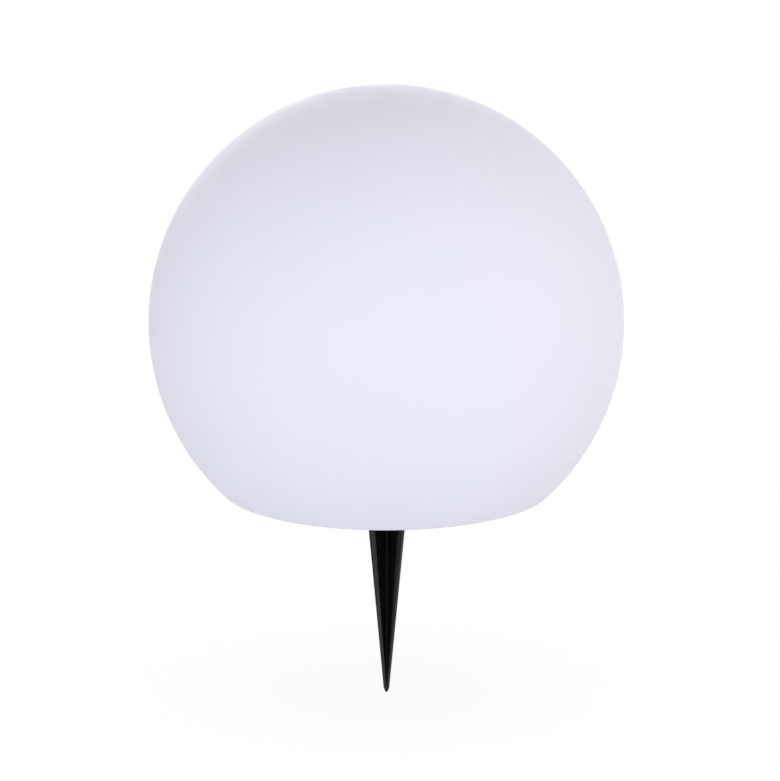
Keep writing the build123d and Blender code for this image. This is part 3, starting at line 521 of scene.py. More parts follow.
@dataclass(frozen=True)
class GlassFibreBoard(Finish):
    """Green solder lacquer over copper tracks, with the sawn glass fibre bare on its edges."""

    track: str
    edge: str
    centre_mm: Pair
    half_mm: Pair
    face_share: float = 0.997

    def work(self, recipe: Recipe) -> None:
        """Raise the tracks under the lacquer and leave the sawn edges dry.

        Args:
            recipe: the material to work on.
        """
        tracks = recipe.add("ShaderNodeTexBrick", {
            "Color1": linear(self.track), "Color2": linear(self.colour), "Mortar": linear(self.colour),
            "Scale": per_mm(1.0), "Mortar Size": 0.14, "Brick Width": 5.2, "Row Height": 0.9,
        }, {"Vector": recipe.place}, offset=0.37, squash=0.6, squash_frequency=3)
        centred = recipe.add("ShaderNodeVectorMath",
                             {1: (self.centre_mm[0] * MM, self.centre_mm[1] * MM, 0.0)},
                             {0: recipe.place}, operation="SUBTRACT")
        share = recipe.add("ShaderNodeVectorMath",
                           {1: (per_mm(self.half_mm[0]), per_mm(self.half_mm[1]), 0.0)},
                           {0: centred.outputs[0]}, operation="MULTIPLY")
        inside = recipe.add("ShaderNodeVectorMath", None, {0: share.outputs[0]}, operation="ABSOLUTE")
        sides = recipe.add("ShaderNodeSeparateXYZ", None, {0: inside.outputs[0]})
        outermost = recipe.add("ShaderNodeMath", None, {0: sides.outputs["X"], 1: sides.outputs["Y"]},
                               operation="MAXIMUM")
        sawn = recipe.add("ShaderNodeMath", {1: self.face_share}, {0: outermost.outputs[0]},
                          operation="GREATER_THAN")
        tint = recipe.add("ShaderNodeMix", {MIX_TO: linear(self.edge)},
                          {MIX_SHARE: sawn.outputs[0], MIX_FROM: tracks.outputs["Color"]},
                          data_type="RGBA")
        gloss = recipe.add("ShaderNodeMapRange", {"To Min": 0.24, "To Max": 0.75},
                           {"Value": sawn.outputs[0]})
        relief = recipe.add("ShaderNodeBump", {"Strength": 0.6, "Distance": 0.035 * MM},
                            {"Height": tracks.outputs["Fac"]}, invert=True)
        recipe.feed({"Base Color": tint.outputs[MIX_OUT], "Roughness": gloss.outputs[0],
                     "Normal": relief.outputs[0]})


@dataclass(frozen=True)
class LeadInsulation(Finish):
    """Extruded silicone insulation, with the two leads of a pair told apart by a plane between them."""

    other: str
    normal: Triple
    offset_mm: float
    dust_mm: float = 0.6

    def work(self, recipe: Recipe) -> None:
        """Colour one lead of the pair on each side of the plane.

        Args:
            recipe: the material to work on.
        """
        side = recipe.add("ShaderNodeVectorMath", {1: self.normal}, {0: recipe.place},
                          operation="DOT_PRODUCT")
        beyond = recipe.add("ShaderNodeMath", {1: self.offset_mm * MM}, {0: side.outputs["Value"]},
                            operation="GREATER_THAN")
        tint = recipe.add("ShaderNodeMix", {MIX_FROM: linear(self.colour), MIX_TO: linear(self.other)},
                          {MIX_SHARE: beyond.outputs[0]}, data_type="RGBA")
        recipe.patchy_gloss(self.dust_mm, 2.0, smoothest=0.38, roughest=0.55, span=(0.0, 1.0))
        recipe.feed({"Base Color": tint.outputs[MIX_OUT]})


# Rotation-moulded polyethylene: a milky, faintly bluish white with no clear highlight, because
# light enters the wall and the unpolished mould leaves the skin matt.
MILKY_POLYETHYLENE = MouldedPlastic(
    "rotation_moulded_polyethylene", "#EDEDF8", "#E9EAF6", ToolSurface.ROTATION_MOULDED,
    mottle_mm=70.0, ior=1.51, milky=0.12)
# Injection-moulded polypropylene from a polished tool: near black, with sharp reflections and dark
# valleys between the fins, and a painted highlight as a paler strip along the fins' edges. Its skin
# reflects a little less than its index says, so the level is lower.
GLOSSY_POLYPROPYLENE = SpikeMoulding(
    "polished_black_polypropylene", "#0A0A0B", edge_highlight="#2B2B2D", top_reach_mm=17.0, end_reach_mm=1.7,
    top_z_mm=0.6, end_z_mm=-132.4)
# ABS from a spark-eroded tool: a dull black whose fine grain breaks up every reflection.
GRAINED_ABS = MouldedPlastic(
    "spark_eroded_black_abs", "#17171A", "#1D1D20", ToolSurface.SPARK_ERODED,
    mottle_mm=18.0, ior=1.54)
# White ABS with a satin skin, which throws the lamp's light back into the globe.
WHITE_ABS = MouldedPlastic(
    "satin_white_abs", "#E4E4DF", "#DCDCD6", ToolSurface.SATIN, mottle_mm=30.0, ior=1.54)
# Glass-filled nylon: satin and charcoal black, a little uneven where the fibres lie near the skin.
BLACK_NYLON = MouldedPlastic(
    "satin_black_nylon", "#151516", "#1E1E20", ToolSurface.SATIN, mottle_mm=6.0, ior=1.53)
# Grey ABS button, satin, a little lighter than its bezel so that it's easy to find.
GREY_ABS = MouldedPlastic(
    "satin_grey_abs", "#6E6F73", "#67686C", ToolSurface.SATIN, mottle_mm=8.0, ior=1.54)
# Pad-printed white ink, dead matt.
WHITE_INK = MouldedPlastic(
    "pad_printed_white_ink", "#E2E2DE", "#D6D6D2", ToolSurface.SATIN, mottle_mm=3.0, ior=1.5)
# Silicone gel filled with phosphor: a warm yellow, slightly wet-looking dome on each chip.
PHOSPHOR_GEL = MouldedPlastic(
    "phosphor_silicone_gel", "#F2C53D", "#EBB82F", ToolSurface.POLISHED,
    mottle_mm=1.5, ior=1.43, milky=0.3, depth_of_milk_mm=0.5)
# White nylon frame of a lamp chip, a plain bright white.
CHIP_FRAME = MouldedPlastic(
    "white_nylon_chip_frame", "#EDEBE4", "#E4E2DA", ToolSurface.SATIN, mottle_mm=3.0, ior=1.53)
# Moulded EPDM rubber: flat dark grey-black with a pale bloom. The grain of both rubbers is really
# about 0.1 mm, too fine to show, so it's drawn several times as coarse.
EPDM_RUBBER = Rubber("moulded_epdm_rubber", "#161616", "#232322", grain_mm=0.45, roughness=0.78)
# Silicone rubber flap: softer dark grey with a faint sheen.
SILICONE_RUBBER = Rubber("moulded_silicone_rubber", "#2A2B2D", "#333437", grain_mm=0.7, roughness=0.6)
# Tumbled stainless steel: bright but slightly cloudy, as cold-headed screws come out of the barrel.
TUMBLED_STAINLESS = Metal("tumbled_stainless_steel", "#B9B9BA", Working.TUMBLED, 0.2, 0.34)
# Brass turned on an automatic lathe: yellow with fine rings.
TURNED_BRASS = Metal("turned_brass", "#D9B36A", Working.TURNED, 0.2, 0.34, mark_depth_mm=0.006)
# Nickel-plated spring steel: a warm silver with rolling streaks.
NICKEL_PLATE = Metal("nickel_plated_spring_steel", "#C9C4B8", Working.ROLLED, 0.16, 0.3)
# Tin solder: bright and slightly wavy where it froze.
TIN_SOLDER = Metal("frozen_tin_solder", "#C4C6C8", Working.TUMBLED, 0.22, 0.4, mark_depth_mm=0.01)
# Frosted polycarbonate: pale and cloudy, with the lamp board only a soft shape behind it.
FROSTED_DOME = FrostedPolycarbonate("frosted_polycarbonate", "#F6F6F3")
# White solder lacquer on aluminium, with its punched rim bare.
LAMP_LACQUER = LacqueredLampBoard("white_lacquered_aluminium", "#F0F0EA", "#E9E8E0", metal="#B4B5B8",
                                  edge_radius_mm=33.283)
# Green solder lacquer: tracks show as slightly lighter, raised strips, edges as dry tan fibre.
GREEN_BOARD = GlassFibreBoard("green_lacquered_glass_fibre", "#0B4A2B", track="#14633A", edge="#A9A27A",
                              centre_mm=(0.0, -28.5), half_mm=(15.0, 12.0))
# Blue shrink film on a nickel-plated can: glossy, with small creases.
BLUE_SLEEVE = ShrinkSleeve("blue_shrink_film", "#1F5D9E", "#2C6FB4", metal="#BDBDBE",
                           axis_mm=(2.5, 26.0, 28.0), bare_radius_mm=7.4)
# Epoxy, ferrite and aluminium of the parts on the board.
BOARD_PARTS = BoardParts("moulded_board_parts", "#161617", "#242426", metal="#B6B8BB",
                         can_place_mm=(7.125, 35.0), can_radius_mm=2.06)
# Red and black silicone insulation, soft and slightly dusty.
LAMP_LEADS = LeadInsulation("red_and_black_lamp_leads", "#191919", "#B3211B", (1.0, 0.0, 0.0), 0.0)
SWITCH_LEADS = LeadInsulation("white_and_grey_switch_leads", "#8A8B8E", "#D8D8D4",
                              (0.429, 0.903, 0.0), -30.46)
SOCKET_LEADS = LeadInsulation("red_and_black_socket_leads", "#191919", "#B3211B",
                              (-0.429, 0.903, 0.0), -30.46)


# ---------------------------------------------------------------- modelling by hand
class Start(Enum):
    """Primitives that a piece may start from."""

    DISC = "disc"
    RING_LINE = "ring line"
    BLOCK = "block"


FaceTest = Callable[[Vector, Vector], bool]


class Bench:
    """One piece on the modelling bench, in edit mode, measured in millimetres from its own place."""

    def __init__(self, name: str, start: Start, place: Vector, size_mm: Triple,
                 corners: int = 32, turn: float = 0.0) -> None:
        """Add the primitive that the piece is shaped from.

        Args:
            name: name of the piece.
            start: primitive to start from.
            place: its middle, in metres.
            size_mm: width, depth and height; a disc takes its diameter from the width.
            corners: corners of a disc or ring line.
            turn: turn about the vertical in degrees.
        """
        bpy.ops.object.select_all(action="DESELECT")
        spot = {"location": place, "rotation": (0.0, 0.0, radians(turn))}
        if start is Start.BLOCK:
            bpy.ops.mesh.primitive_cube_add(size=1.0, scale=[side * MM for side in size_mm], **spot)
        else:
            fill = "NGON" if start is Start.DISC else "NOTHING"
            bpy.ops.mesh.primitive_circle_add(vertices=corners, radius=size_mm[0] * MM / 2,
                                              fill_type=fill, **spot)
        self.piece = bpy.context.active_object
        self.piece.name = name
        self.piece.data.name = name
        bpy.ops.object.transform_apply(location=False, rotation=False, scale=True)
        bpy.ops.object.mode_set(mode="EDIT")

    def pick(self, test: FaceTest = lambda spot, normal: True) -> None:
        """Select the faces whose middle, in mm, and normal pass a test.

        Args:
            test: says whether a face is wanted, which all are if none is given.
        """
        bpy.ops.mesh.select_mode(type="FACE")
        bpy.ops.mesh.select_all(action="DESELECT")
        mesh = bmesh.from_edit_mesh(self.piece.data)
        for face in mesh.faces:
            if test(face.calc_center_median() / MM, face.normal):
                face.select_set(True)
        bmesh.update_edit_mesh(self.piece.data)

    def reshape(self, move: Callable[[Vector], Vector]) -> None:
        """Move every corner of the piece.

        Args:
            move: gives a corner's new place from its old one, both in mm.
        """
        mesh = bmesh.from_edit_mesh(self.piece.data)
        for corner in mesh.verts:
            corner.co = move(corner.co / MM) * MM
        bmesh.update_edit_mesh(self.piece.data)

    def outline(self, corners_mm: list[Triple]) -> None:
        """Give each corner of a disc or ring line its place, in their order."""
        places = iter(corners_mm)
        self.reshape(lambda spot: Vector(next(places)))

    def extrude(self, move_mm: Triple) -> None:
        """Extrude what is selected along a direction of the piece itself."""
        turned = self.piece.rotation_euler.to_matrix() @ Vector(move_mm)
        bpy.ops.mesh.extrude_region_move(TRANSFORM_OT_translate={"value": turned * MM})

    def scale(self, factor: float) -> None:
        """Scale what is selected in plan about the piece's place."""
        bpy.ops.transform.resize(value=(factor, factor, 1.0), center_override=self.piece.location)

    def inset(self, width_mm: float, rise_mm: float = 0.0) -> None:
        """Inset the selected faces, and raise or sink them."""
        bpy.ops.mesh.inset(thickness=width_mm * MM, depth=rise_mm * MM)

    def bevel_sharp(self, width_mm: float, segments: int = 2, sharper_than: float = 30.0) -> None:
        """Round every sharp edge.

        Args:
            width_mm: how far the rounding reaches from the edge.
            segments: faces across the rounding.
            sharper_than: angle in degrees past which an edge is rounded.
        """
        bpy.ops.mesh.select_mode(type="EDGE")
        bpy.ops.mesh.select_all(action="DESELECT")
        bpy.ops.mesh.edges_select_sharp(sharpness=radians(sharper_than))
        bpy.ops.mesh.bevel(offset=width_mm * MM, segments=segments, affect="EDGES")

    def merge(self) -> None:
        """Merge doubles and turn all faces outwards."""
        bpy.ops.mesh.select_all(action="SELECT")
        bpy.ops.mesh.remove_doubles(threshold=0.001 * MM)
        bpy.ops.mesh.normals_make_consistent(inside=False)

    def done(self, smooth_below: float = 35.0) -> Piece:
        """Leave edit mode and put the piece's place into its mesh.

        Args:
            smooth_below: edges flatter than this many degrees are shaded smooth.

        Returns:
            The piece.
        """
        bpy.ops.object.mode_set(mode="OBJECT")
        bpy.ops.object.transform_apply(location=True, rotation=True, scale=True)
        bpy.ops.object.shade_smooth_by_angle(angle=radians(smooth_below))
        return self.piece


def apply_modifier(piece: Piece, kind: str, **settings: object) -> None:
    """Add a modifier to a piece and apply it.

    Args:
        piece: the piece.
        kind: Blender's name for the modifier.
        **settings: properties of the modifier.
    """
    modifier = piece.modifiers.new(kind.title(), kind)
    for name, value in settings.items():
        setattr(modifier, name, value)
    bpy.ops.object.select_all(action="DESELECT")
    piece.select_set(True)
    bpy.context.view_layer.objects.active = piece
    bpy.ops.object.modifier_apply(modifier=modifier.name)


def joined(name: str, pieces: list[Piece]) -> Piece:
    """Join several pieces into one.

    Args:
        name: name of the joined piece.
        pieces: what goes into it.

    Returns:
        The joined piece.
    """
    bpy.ops.object.select_all(action="DESELECT")
    for piece in pieces:
        piece.select_set(True)
    bpy.context.view_layer.objects.active = pieces[0]
    bpy.ops.object.join()
    pieces[0].name = name
    pieces[0].data.name = name
    return pieces[0]


def copy_at(model: Piece, name: str, move_mm: Triple = (0.0, 0.0, 0.0), turn: float = 0.0,
            about_mm: Triple = (0.0, 0.0, 0.0)) -> Piece:
    """Copy a piece with its own mesh, turned about an upright line and moved.

    Args:
        model: piece to copy.
        name: name of the copy.
        move_mm: how far the copy moves, after its turn.
        turn: turn in degrees.
        about_mm: a point on the upright line of the turn.

    Returns:
        The copy.
    """
    piece = model.copy()
    piece.data = model.data.copy()
    piece.name = name
    piece.data.name = name
    bpy.context.collection.objects.link(piece)
    angle = radians(turn)
    middle = Vector(about_mm) * MM
    for corner in piece.data.vertices:
        arm = corner.co - middle
        turned = Vector((arm.x * cos(angle) - arm.y * sin(angle),
                         arm.x * sin(angle) + arm.y * cos(angle), arm.z))
        corner.co = middle + turned + Vector(move_mm) * MM
    return piece


def all_round(model: Piece, name: str, count: int, first: int = 1,
              about_mm: Triple = (0.0, 0.0, 0.0)) -> list[Piece]:
    """Repeat a piece at even turns about an upright line.

    Args:
        model: the first of them.
        name: start of their names.
        count: how many there are in all.
        first: number of the first.
        about_mm: a point on the upright line.

    Returns:
        The piece and its copies.
    """
    return [model] + [copy_at(model, f"{name}_{first + step}", turn=step * 360 / count, about_mm=about_mm)
                      for step in range(1, count)]


def middle_of(node: str) -> Vector:
    """Middle of a CAD node's box, in metres."""
    low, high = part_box(node)
    return (low + high) / 2


# ---------------------------------------------------------------- sub-assemblies
@dataclass
class SubAssembly:
    """CAD nodes and added pieces that belong together."""

    title: str
    body: str
    made: list[str] = field(default_factory=list)

    def build(self) -> None:
        """Dress the nodes and add the pieces."""
        raise NotImplementedError

    def dress(self, finish: Finish, *nodes: str) -> None:
        """Give CAD nodes their finish.

        Args:
            finish: what they wear.
            *nodes: names of the nodes.
        """
        for node in nodes:
            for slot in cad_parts[node].material_slots:
                slot.material = material_of(finish)
        self.made.extend(nodes)

    def keep(self, pieces: list[Piece], finish: Finish, slot: str, body: str | None = None) -> None:
        """Give added pieces their finish and let them ride on their body.

        Args:
            pieces: the finished pieces.
            finish: what they wear.
            slot: the record's material slot, which is not used.
            body: CAD body that they ride on, the sub-assembly's own if none is given.
        """
        for piece in pieces:
            piece.data.materials.clear()
            piece.data.materials.append(material_of(finish))
            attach(piece, body or self.body)
            self.made.append(piece.name)

    def report(self) -> None:
        """Log what was made."""
        log.info("%s: %s", self.title, ", ".join(self.made))


@dataclass
class MouldedGlobe(SubAssembly):
    """The milky ball with the inserts in its base."""

    def build(self) -> None:
        """Dress the ball and its inserts."""
        self.dress(MILKY_POLYETHYLENE, "globe_shell")
        self.dress(TURNED_BRASS, "threaded_inserts")


@dataclass
class GroundSpike(SubAssembly):
    """The black moulded spike with its collar and peg."""

    def build(self) -> None:
        """Dress the spike."""
        self.dress(GLOSSY_POLYPROPYLENE, "ground_spike")


@dataclass
class FlangeScrew:
    """Button head screw that stands on its head, with a hexagon socket and a real thread.

    Its place is the middle of the head's lowest face, in metres.
    """

    place: Vector
    length_mm: float = 12.0
    head_diameter_mm: float = 7.6
    head_height_mm: float = 2.4
    head_corners: int = 36
    head_side_mm: float = 0.9
    head_step_mm: float = 0.5
    head_step_shares: tuple[float, ...] = (0.97, 0.9, 0.74)
    head_rim_mm: float = 0.8
    key_radius_mm: float = 1.28
    key_depth_mm: float = 1.44
    key_lip_mm: float = 0.02
    shank_radius_mm: float = 2.0
    tip_mm: float = 0.6
    tip_share: float = 0.72
    pitch_mm: float = 0.7
    thread_depth_mm: float = 0.42
    thread_sink_mm: float = 0.03
    thread_steps: int = 24
    # Shares of the pitch at which the ridge reaches its crest, leaves it and ends.
    thread_shares: Triple = (0.44, 0.56, 0.98)
    bare_end_mm: float = 0.8

    def model(self, name: str) -> Piece:
        """Model the screw from its head, core and thread."""
        return joined(name, [self.head(), self.core(), self.thread()])

    def head(self) -> Piece:
        """Model the head, which faces down, with its hexagon socket.

        Returns:
            The head.
        """
        bench = Bench("screw_head", Start.DISC, self.place, (self.head_diameter_mm, 0.0, 0.0),
                      self.head_corners)
        bench.reshape(lambda spot: Vector((spot.x, spot.y, self.head_height_mm)))
        bench.pick()
        bpy.ops.mesh.flip_normals()
        bench.extrude((0.0, 0.0, -self.head_side_mm))
        for share in self.head_step_shares:
            bench.extrude((0.0, 0.0, -self.head_step_mm))
            bench.scale(share)
        bench.inset(self.head_rim_mm)
        bench.reshape(self.hexagon_corner)
        bench.inset(self.key_lip_mm)
        bench.extrude((0.0, 0.0, self.key_depth_mm))
        return bench.done(30.0)

    def hexagon_corner(self, spot: Vector) -> Vector:
        """Draw the innermost ring of the head's lowest face to the socket's hexagon.

        Args:
            spot: a corner of the head, in mm.

        Returns:
            Where the corner goes.
        """
        radius = hypot(spot.x, spot.y)
        face_radius = self.head_diameter_mm / 2 * prod(self.head_step_shares)
        if spot.z > self.head_step_mm / 2 or radius > face_radius - self.head_rim_mm / 2:
            return spot
        sector = pi / 3
        angle = Vector((spot.x, spot.y)).angle_signed(Vector((1.0, 0.0))) % sector - sector / 2
        wanted = self.key_radius_mm * cos(sector / 2) / cos(angle)
        return Vector((spot.x * wanted / radius, spot.y * wanted / radius, spot.z))

    def core(self) -> Piece:
        """Model the core of the shank with its chamfered tip.

        Returns:
            The core.
        """
        diameter = 2 * (self.shank_radius_mm - self.thread_depth_mm)
        bench = Bench("screw_core", Start.DISC, self.place + UP * self.head_height_mm * MM,
                      (diameter, 0.0, 0.0), self.thread_steps)
        bench.pick()
        bench.extrude((0.0, 0.0, self.length_mm - self.tip_mm))
        bench.extrude((0.0, 0.0, self.tip_mm))
        bench.scale(self.tip_share)
        return bench.done()

    def thread(self) -> Piece:
        """Model the helical ridge along the shank, its root sunk a little into the core.

        Returns:
            The thread.
        """
        crest = self.shank_radius_mm
        root = crest - self.thread_depth_mm - self.thread_sink_mm
        rise, fall, end = (self.pitch_mm * share for share in self.thread_shares)
        ridge = [(root, 0.0), (crest, rise), (crest, fall), (root, end)]
        bench = Bench("screw_thread", Start.RING_LINE, self.place, (1.0, 0.0, 0.0), len(ridge))
        bench.outline([(radius, 0.0, height + self.head_height_mm) for radius, height in ridge])
        bpy.ops.object.mode_set(mode="OBJECT")
        turns = int((self.length_mm - self.bare_end_mm) / self.pitch_mm) - 1
        apply_modifier(bench.piece, "SCREW", axis="Z", screw_offset=self.pitch_mm * MM, angle=2 * pi,
                       iterations=turns, steps=self.thread_steps, render_steps=self.thread_steps)
        bpy.ops.object.mode_set(mode="EDIT")
        bpy.ops.mesh.select_all(action="SELECT")
        bpy.ops.mesh.fill_holes(sides=len(ridge))
        bench.merge()
        return bench.done(50.0)


@dataclass
class BaseUnit(SubAssembly):
    """Black cup, flange, lid, seals and screws, seen from below and when the globe is lifted."""

    screw_count: int = 6
    screw_circle_mm: float = 64.933
    floor_z_mm: float = 10.0
    ejector_radius_mm: float = 2.0
    ejector_circle_mm: float = 45.0
    ejector_corners: int = 40
    ejector_sink_mm: float = 0.02
    ejector_height_mm: float = 0.12
    ejector_rims_mm: tuple[Pair, ...] = ((0.12, 0.03), (0.1, -0.06))
    ejector_angles: tuple[float, ...] = (17.0, 43.0, 77.0, 103.0, 137.0, 163.0, 257.0, 283.0)

    def build(self) -> None:
        """Dress the cup and its seals, and add threaded screws and ejector marks."""
        self.dress(GRAINED_ABS, "base_housing")
        self.dress(WHITE_ABS, "housing_lid")
        self.dress(EPDM_RUBBER, "base_gasket", "lid_gasket", "screw_washers", "lead_grommet")
        self.dress(TUMBLED_STAINLESS, "lid_screws", "flange_screws")
        self.add_flange_screws()
        self.add_ejector_marks()

    def add_flange_screws(self) -> None:
        """Add the six threaded screws, heads down, in place of the plain ones."""
        low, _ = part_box("flange_screws")
        screw = FlangeScrew(Vector((self.screw_circle_mm * MM, 0.0, low.z)))
        model = screw.model("flange_screw_1")
        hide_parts("flange_screws")
        self.keep(all_round(model, "flange_screw", self.screw_count), TUMBLED_STAINLESS, "stainless")

    def add_ejector_marks(self) -> None:
        """Add the round witness marks that the mould's ejector pins leave on the cup's floor."""
        first, *others = self.ejector_angles
        place = Vector((self.ejector_circle_mm * cos(radians(first)),
                        self.ejector_circle_mm * sin(radians(first)),
                        self.floor_z_mm + self.ejector_sink_mm)) * MM
        bench = Bench("ejector_mark_1", Start.DISC, place, (2 * self.ejector_radius_mm, 0.0, 0.0),
                      self.ejector_corners)
        bench.pick()
        bpy.ops.mesh.flip_normals()
        bench.extrude((0.0, 0.0, -self.ejector_height_mm))
        for width, rise in self.ejector_rims_mm:
            bench.inset(width, rise)
        model = bench.done(20.0)
        copies = [copy_at(model, f"ejector_mark_{number}", turn=angle - first)
                  for number, angle in enumerate(others, start=2)]
        self.keep([model] + copies, GRAINED_ABS, "housing")


@dataclass
class PushSwitch(SubAssembly):
    """The push switch in the floor of the cup."""

    mark_radius_mm: float = 2.0
    mark_width_mm: float = 0.5
    mark_height_mm: float = 0.12
    mark_gap: float = 76.0
    ring_steps: int = 40
    bar_length_mm: float = 1.9
    bar_middle_mm: float = 1.75
    bar_rounding_mm: float = 0.05
    facing: float = 210.0

    def build(self) -> None:
        """Dress the switch and print the mark on its button."""
        self.dress(BLACK_NYLON, "switch_body", "switch_nut")
        self.dress(EPDM_RUBBER, "switch_seal")
        self.dress(SWITCH_LEADS, "switch_leads")
        self.dress(GREY_ABS, "power_button")
        self.add_power_mark()

    def add_power_mark(self) -> None:
        """Add the usual broken ring and bar of an on-off button."""
        low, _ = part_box("power_button")
        middle = middle_of("power_button")
        face = Vector((middle.x, middle.y, low.z - self.mark_height_mm / 2 * MM))
        ring = Bench("power_ring", Start.BLOCK, face,
                     (self.mark_width_mm, self.mark_width_mm, self.mark_height_mm),
                     turn=self.facing + self.mark_gap / 2)
        ring.reshape(lambda spot: Vector((spot.x + self.mark_radius_mm, 0.0, spot.z)))
        ring.merge()
        bpy.ops.mesh.select_all(action="SELECT")
        bpy.ops.mesh.spin(steps=self.ring_steps, angle=-radians(360 - self.mark_gap),
                          center=ring.piece.location, axis=(0.0, 0.0, 1.0))
        ring.merge()
        ring_piece = ring.done()
        bar = Bench("power_bar", Start.BLOCK, face,
                    (self.bar_length_mm, self.mark_width_mm, self.mark_height_mm), turn=self.facing)
        bar.reshape(lambda spot: spot + Vector((self.bar_middle_mm, 0.0, 0.0)))
        bar.bevel_sharp(self.bar_rounding_mm)
        self.keep([joined("power_mark", [ring_piece, bar.done()])], WHITE_INK, "lid", "button")


@dataclass
class ChargingPort(SubAssembly):
    """The charging socket under its rubber flap."""

    facing: float = 330.0
    hinge_offset_mm: float = 9.7
    strap_low_mm: float = 8.5
    strap_high_mm: float = 11.7
    strap_width_mm: float = 5.08
    strap_thickness_mm: float = 0.86
    strap_rounding_mm: float = 0.12
    strap_cuts: int = 11
    # Share of the strap's length over which it climbs, between two level ends.
    climb_share: float = 2 / 3
    web_z_mm: float = 7.9
    anchor_z_mm: float = 8.75
    bolt_sink_mm: float = 0.02
    bolt_height_mm: float = 0.14
    bolt_rounding_mm: float = 0.04
    bolt_outline_mm: tuple[Pair, ...] = (
        (0.5, 2.5), (-1.5, -0.35), (-0.2, -0.35), (-0.6, -2.5), (1.5, 0.4), (0.2, 0.4))

    def build(self) -> None:
        """Dress the port, and add the strap and the charging mark."""
        self.dress(BLACK_NYLON, "charge_socket", "socket_nut")
        self.dress(SOCKET_LEADS, "socket_leads")
        self.dress(SILICONE_RUBBER, "port_flap", "port_flap_anchor")
        self.add_strap()
        self.add_charging_mark()

    def along(self, offset_mm: float, z_mm: float) -> Vector:
        """Find a point on the line from the socket outwards.

        Args:
            offset_mm: how far out from the socket's middle.
            z_mm: its height.

        Returns:
            The point, in metres.
        """
        middle = middle_of("charge_socket")
        angle = radians(self.facing)
        return Vector((middle.x + offset_mm * MM * cos(angle),
                       middle.y + offset_mm * MM * sin(angle), z_mm * MM))

    def add_strap(self) -> None:
        """Add the bending strip between the flap's web and its anchor."""
        middle = (self.strap_low_mm + self.strap_high_mm) / 2
        length = self.strap_high_mm - self.strap_low_mm
        bench = Bench("flap_strap", Start.BLOCK, self.along(middle, self.web_z_mm),
                      (length, self.strap_width_mm, self.strap_thickness_mm), turn=self.facing)
        bpy.ops.mesh.select_all(action="SELECT")
        bpy.ops.mesh.subdivide(number_cuts=self.strap_cuts)
        climb = self.anchor_z_mm - self.web_z_mm

        def climbing(spot: Vector) -> Vector:
            """Lift a corner from the web's height to the anchor's."""
            share = min(max(spot.x / length / self.climb_share + 0.5, 0.0), 1.0)
            return spot + UP * climb * share * share * (3 - 2 * share)

        bench.reshape(climbing)
        bench.bevel_sharp(self.strap_rounding_mm, sharper_than=60.0)
        strap = bench.done()
        strap.data.materials.append(material_of(SILICONE_RUBBER))
        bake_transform(strap)
        self.made.append(strap.name)

    def add_charging_mark(self) -> None:
        """Print the usual bolt on the flap's outer face."""
        low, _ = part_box("port_flap")
        bench = Bench("charging_mark", Start.DISC, self.along(0.0, low.z / MM), (1.0, 0.0, 0.0),
                      len(self.bolt_outline_mm), turn=self.facing - 90)
        bench.outline([(x, y, self.bolt_sink_mm) for x, y in self.bolt_outline_mm])
        bpy.ops.mesh.select_all(action="SELECT")
        bpy.ops.mesh.normals_make_consistent(inside=False)
        bench.pick()
        bench.extrude((0.0, 0.0, -self.bolt_height_mm))
        bench.merge()
        bench.bevel_sharp(self.bolt_rounding_mm)
        self.keep([bench.done()], WHITE_INK, "lid", "flap")


@dataclass
class SolderJoint:
    """Cone of solder round the end of a lead, which rises and narrows ring by ring."""

    width_mm: float = 2.9
    corners: int = 20
    rises_and_shares: tuple[Pair, ...] = ((0.12, 0.93), (0.18, 0.8), (0.3, 0.78), (0.4, 0.86))

    def at_each(self, name: str, places_mm: tuple[Pair, ...], z_mm: float) -> list[Piece]:
        """Model one cone and copy it to every lead.

        Args:
            name: start of their names.
            places_mm: where the leads meet the board.
            z_mm: height of the board's face.

        Returns:
            The cones.
        """
        (first_x, first_y), *others = places_mm
        bench = Bench(f"{name}_1", Start.DISC, Vector((first_x, first_y, z_mm)) * MM,
                      (self.width_mm, 0.0, 0.0), self.corners)
        bench.pick()
        for rise, share in self.rises_and_shares:
            bench.extrude((0.0, 0.0, rise))
            bench.scale(share)
        model = bench.done(60.0)
        return [model] + [copy_at(model, f"{name}_{number}", (x - first_x, y - first_y, 0.0))
                          for number, (x, y) in enumerate(others, start=2)]


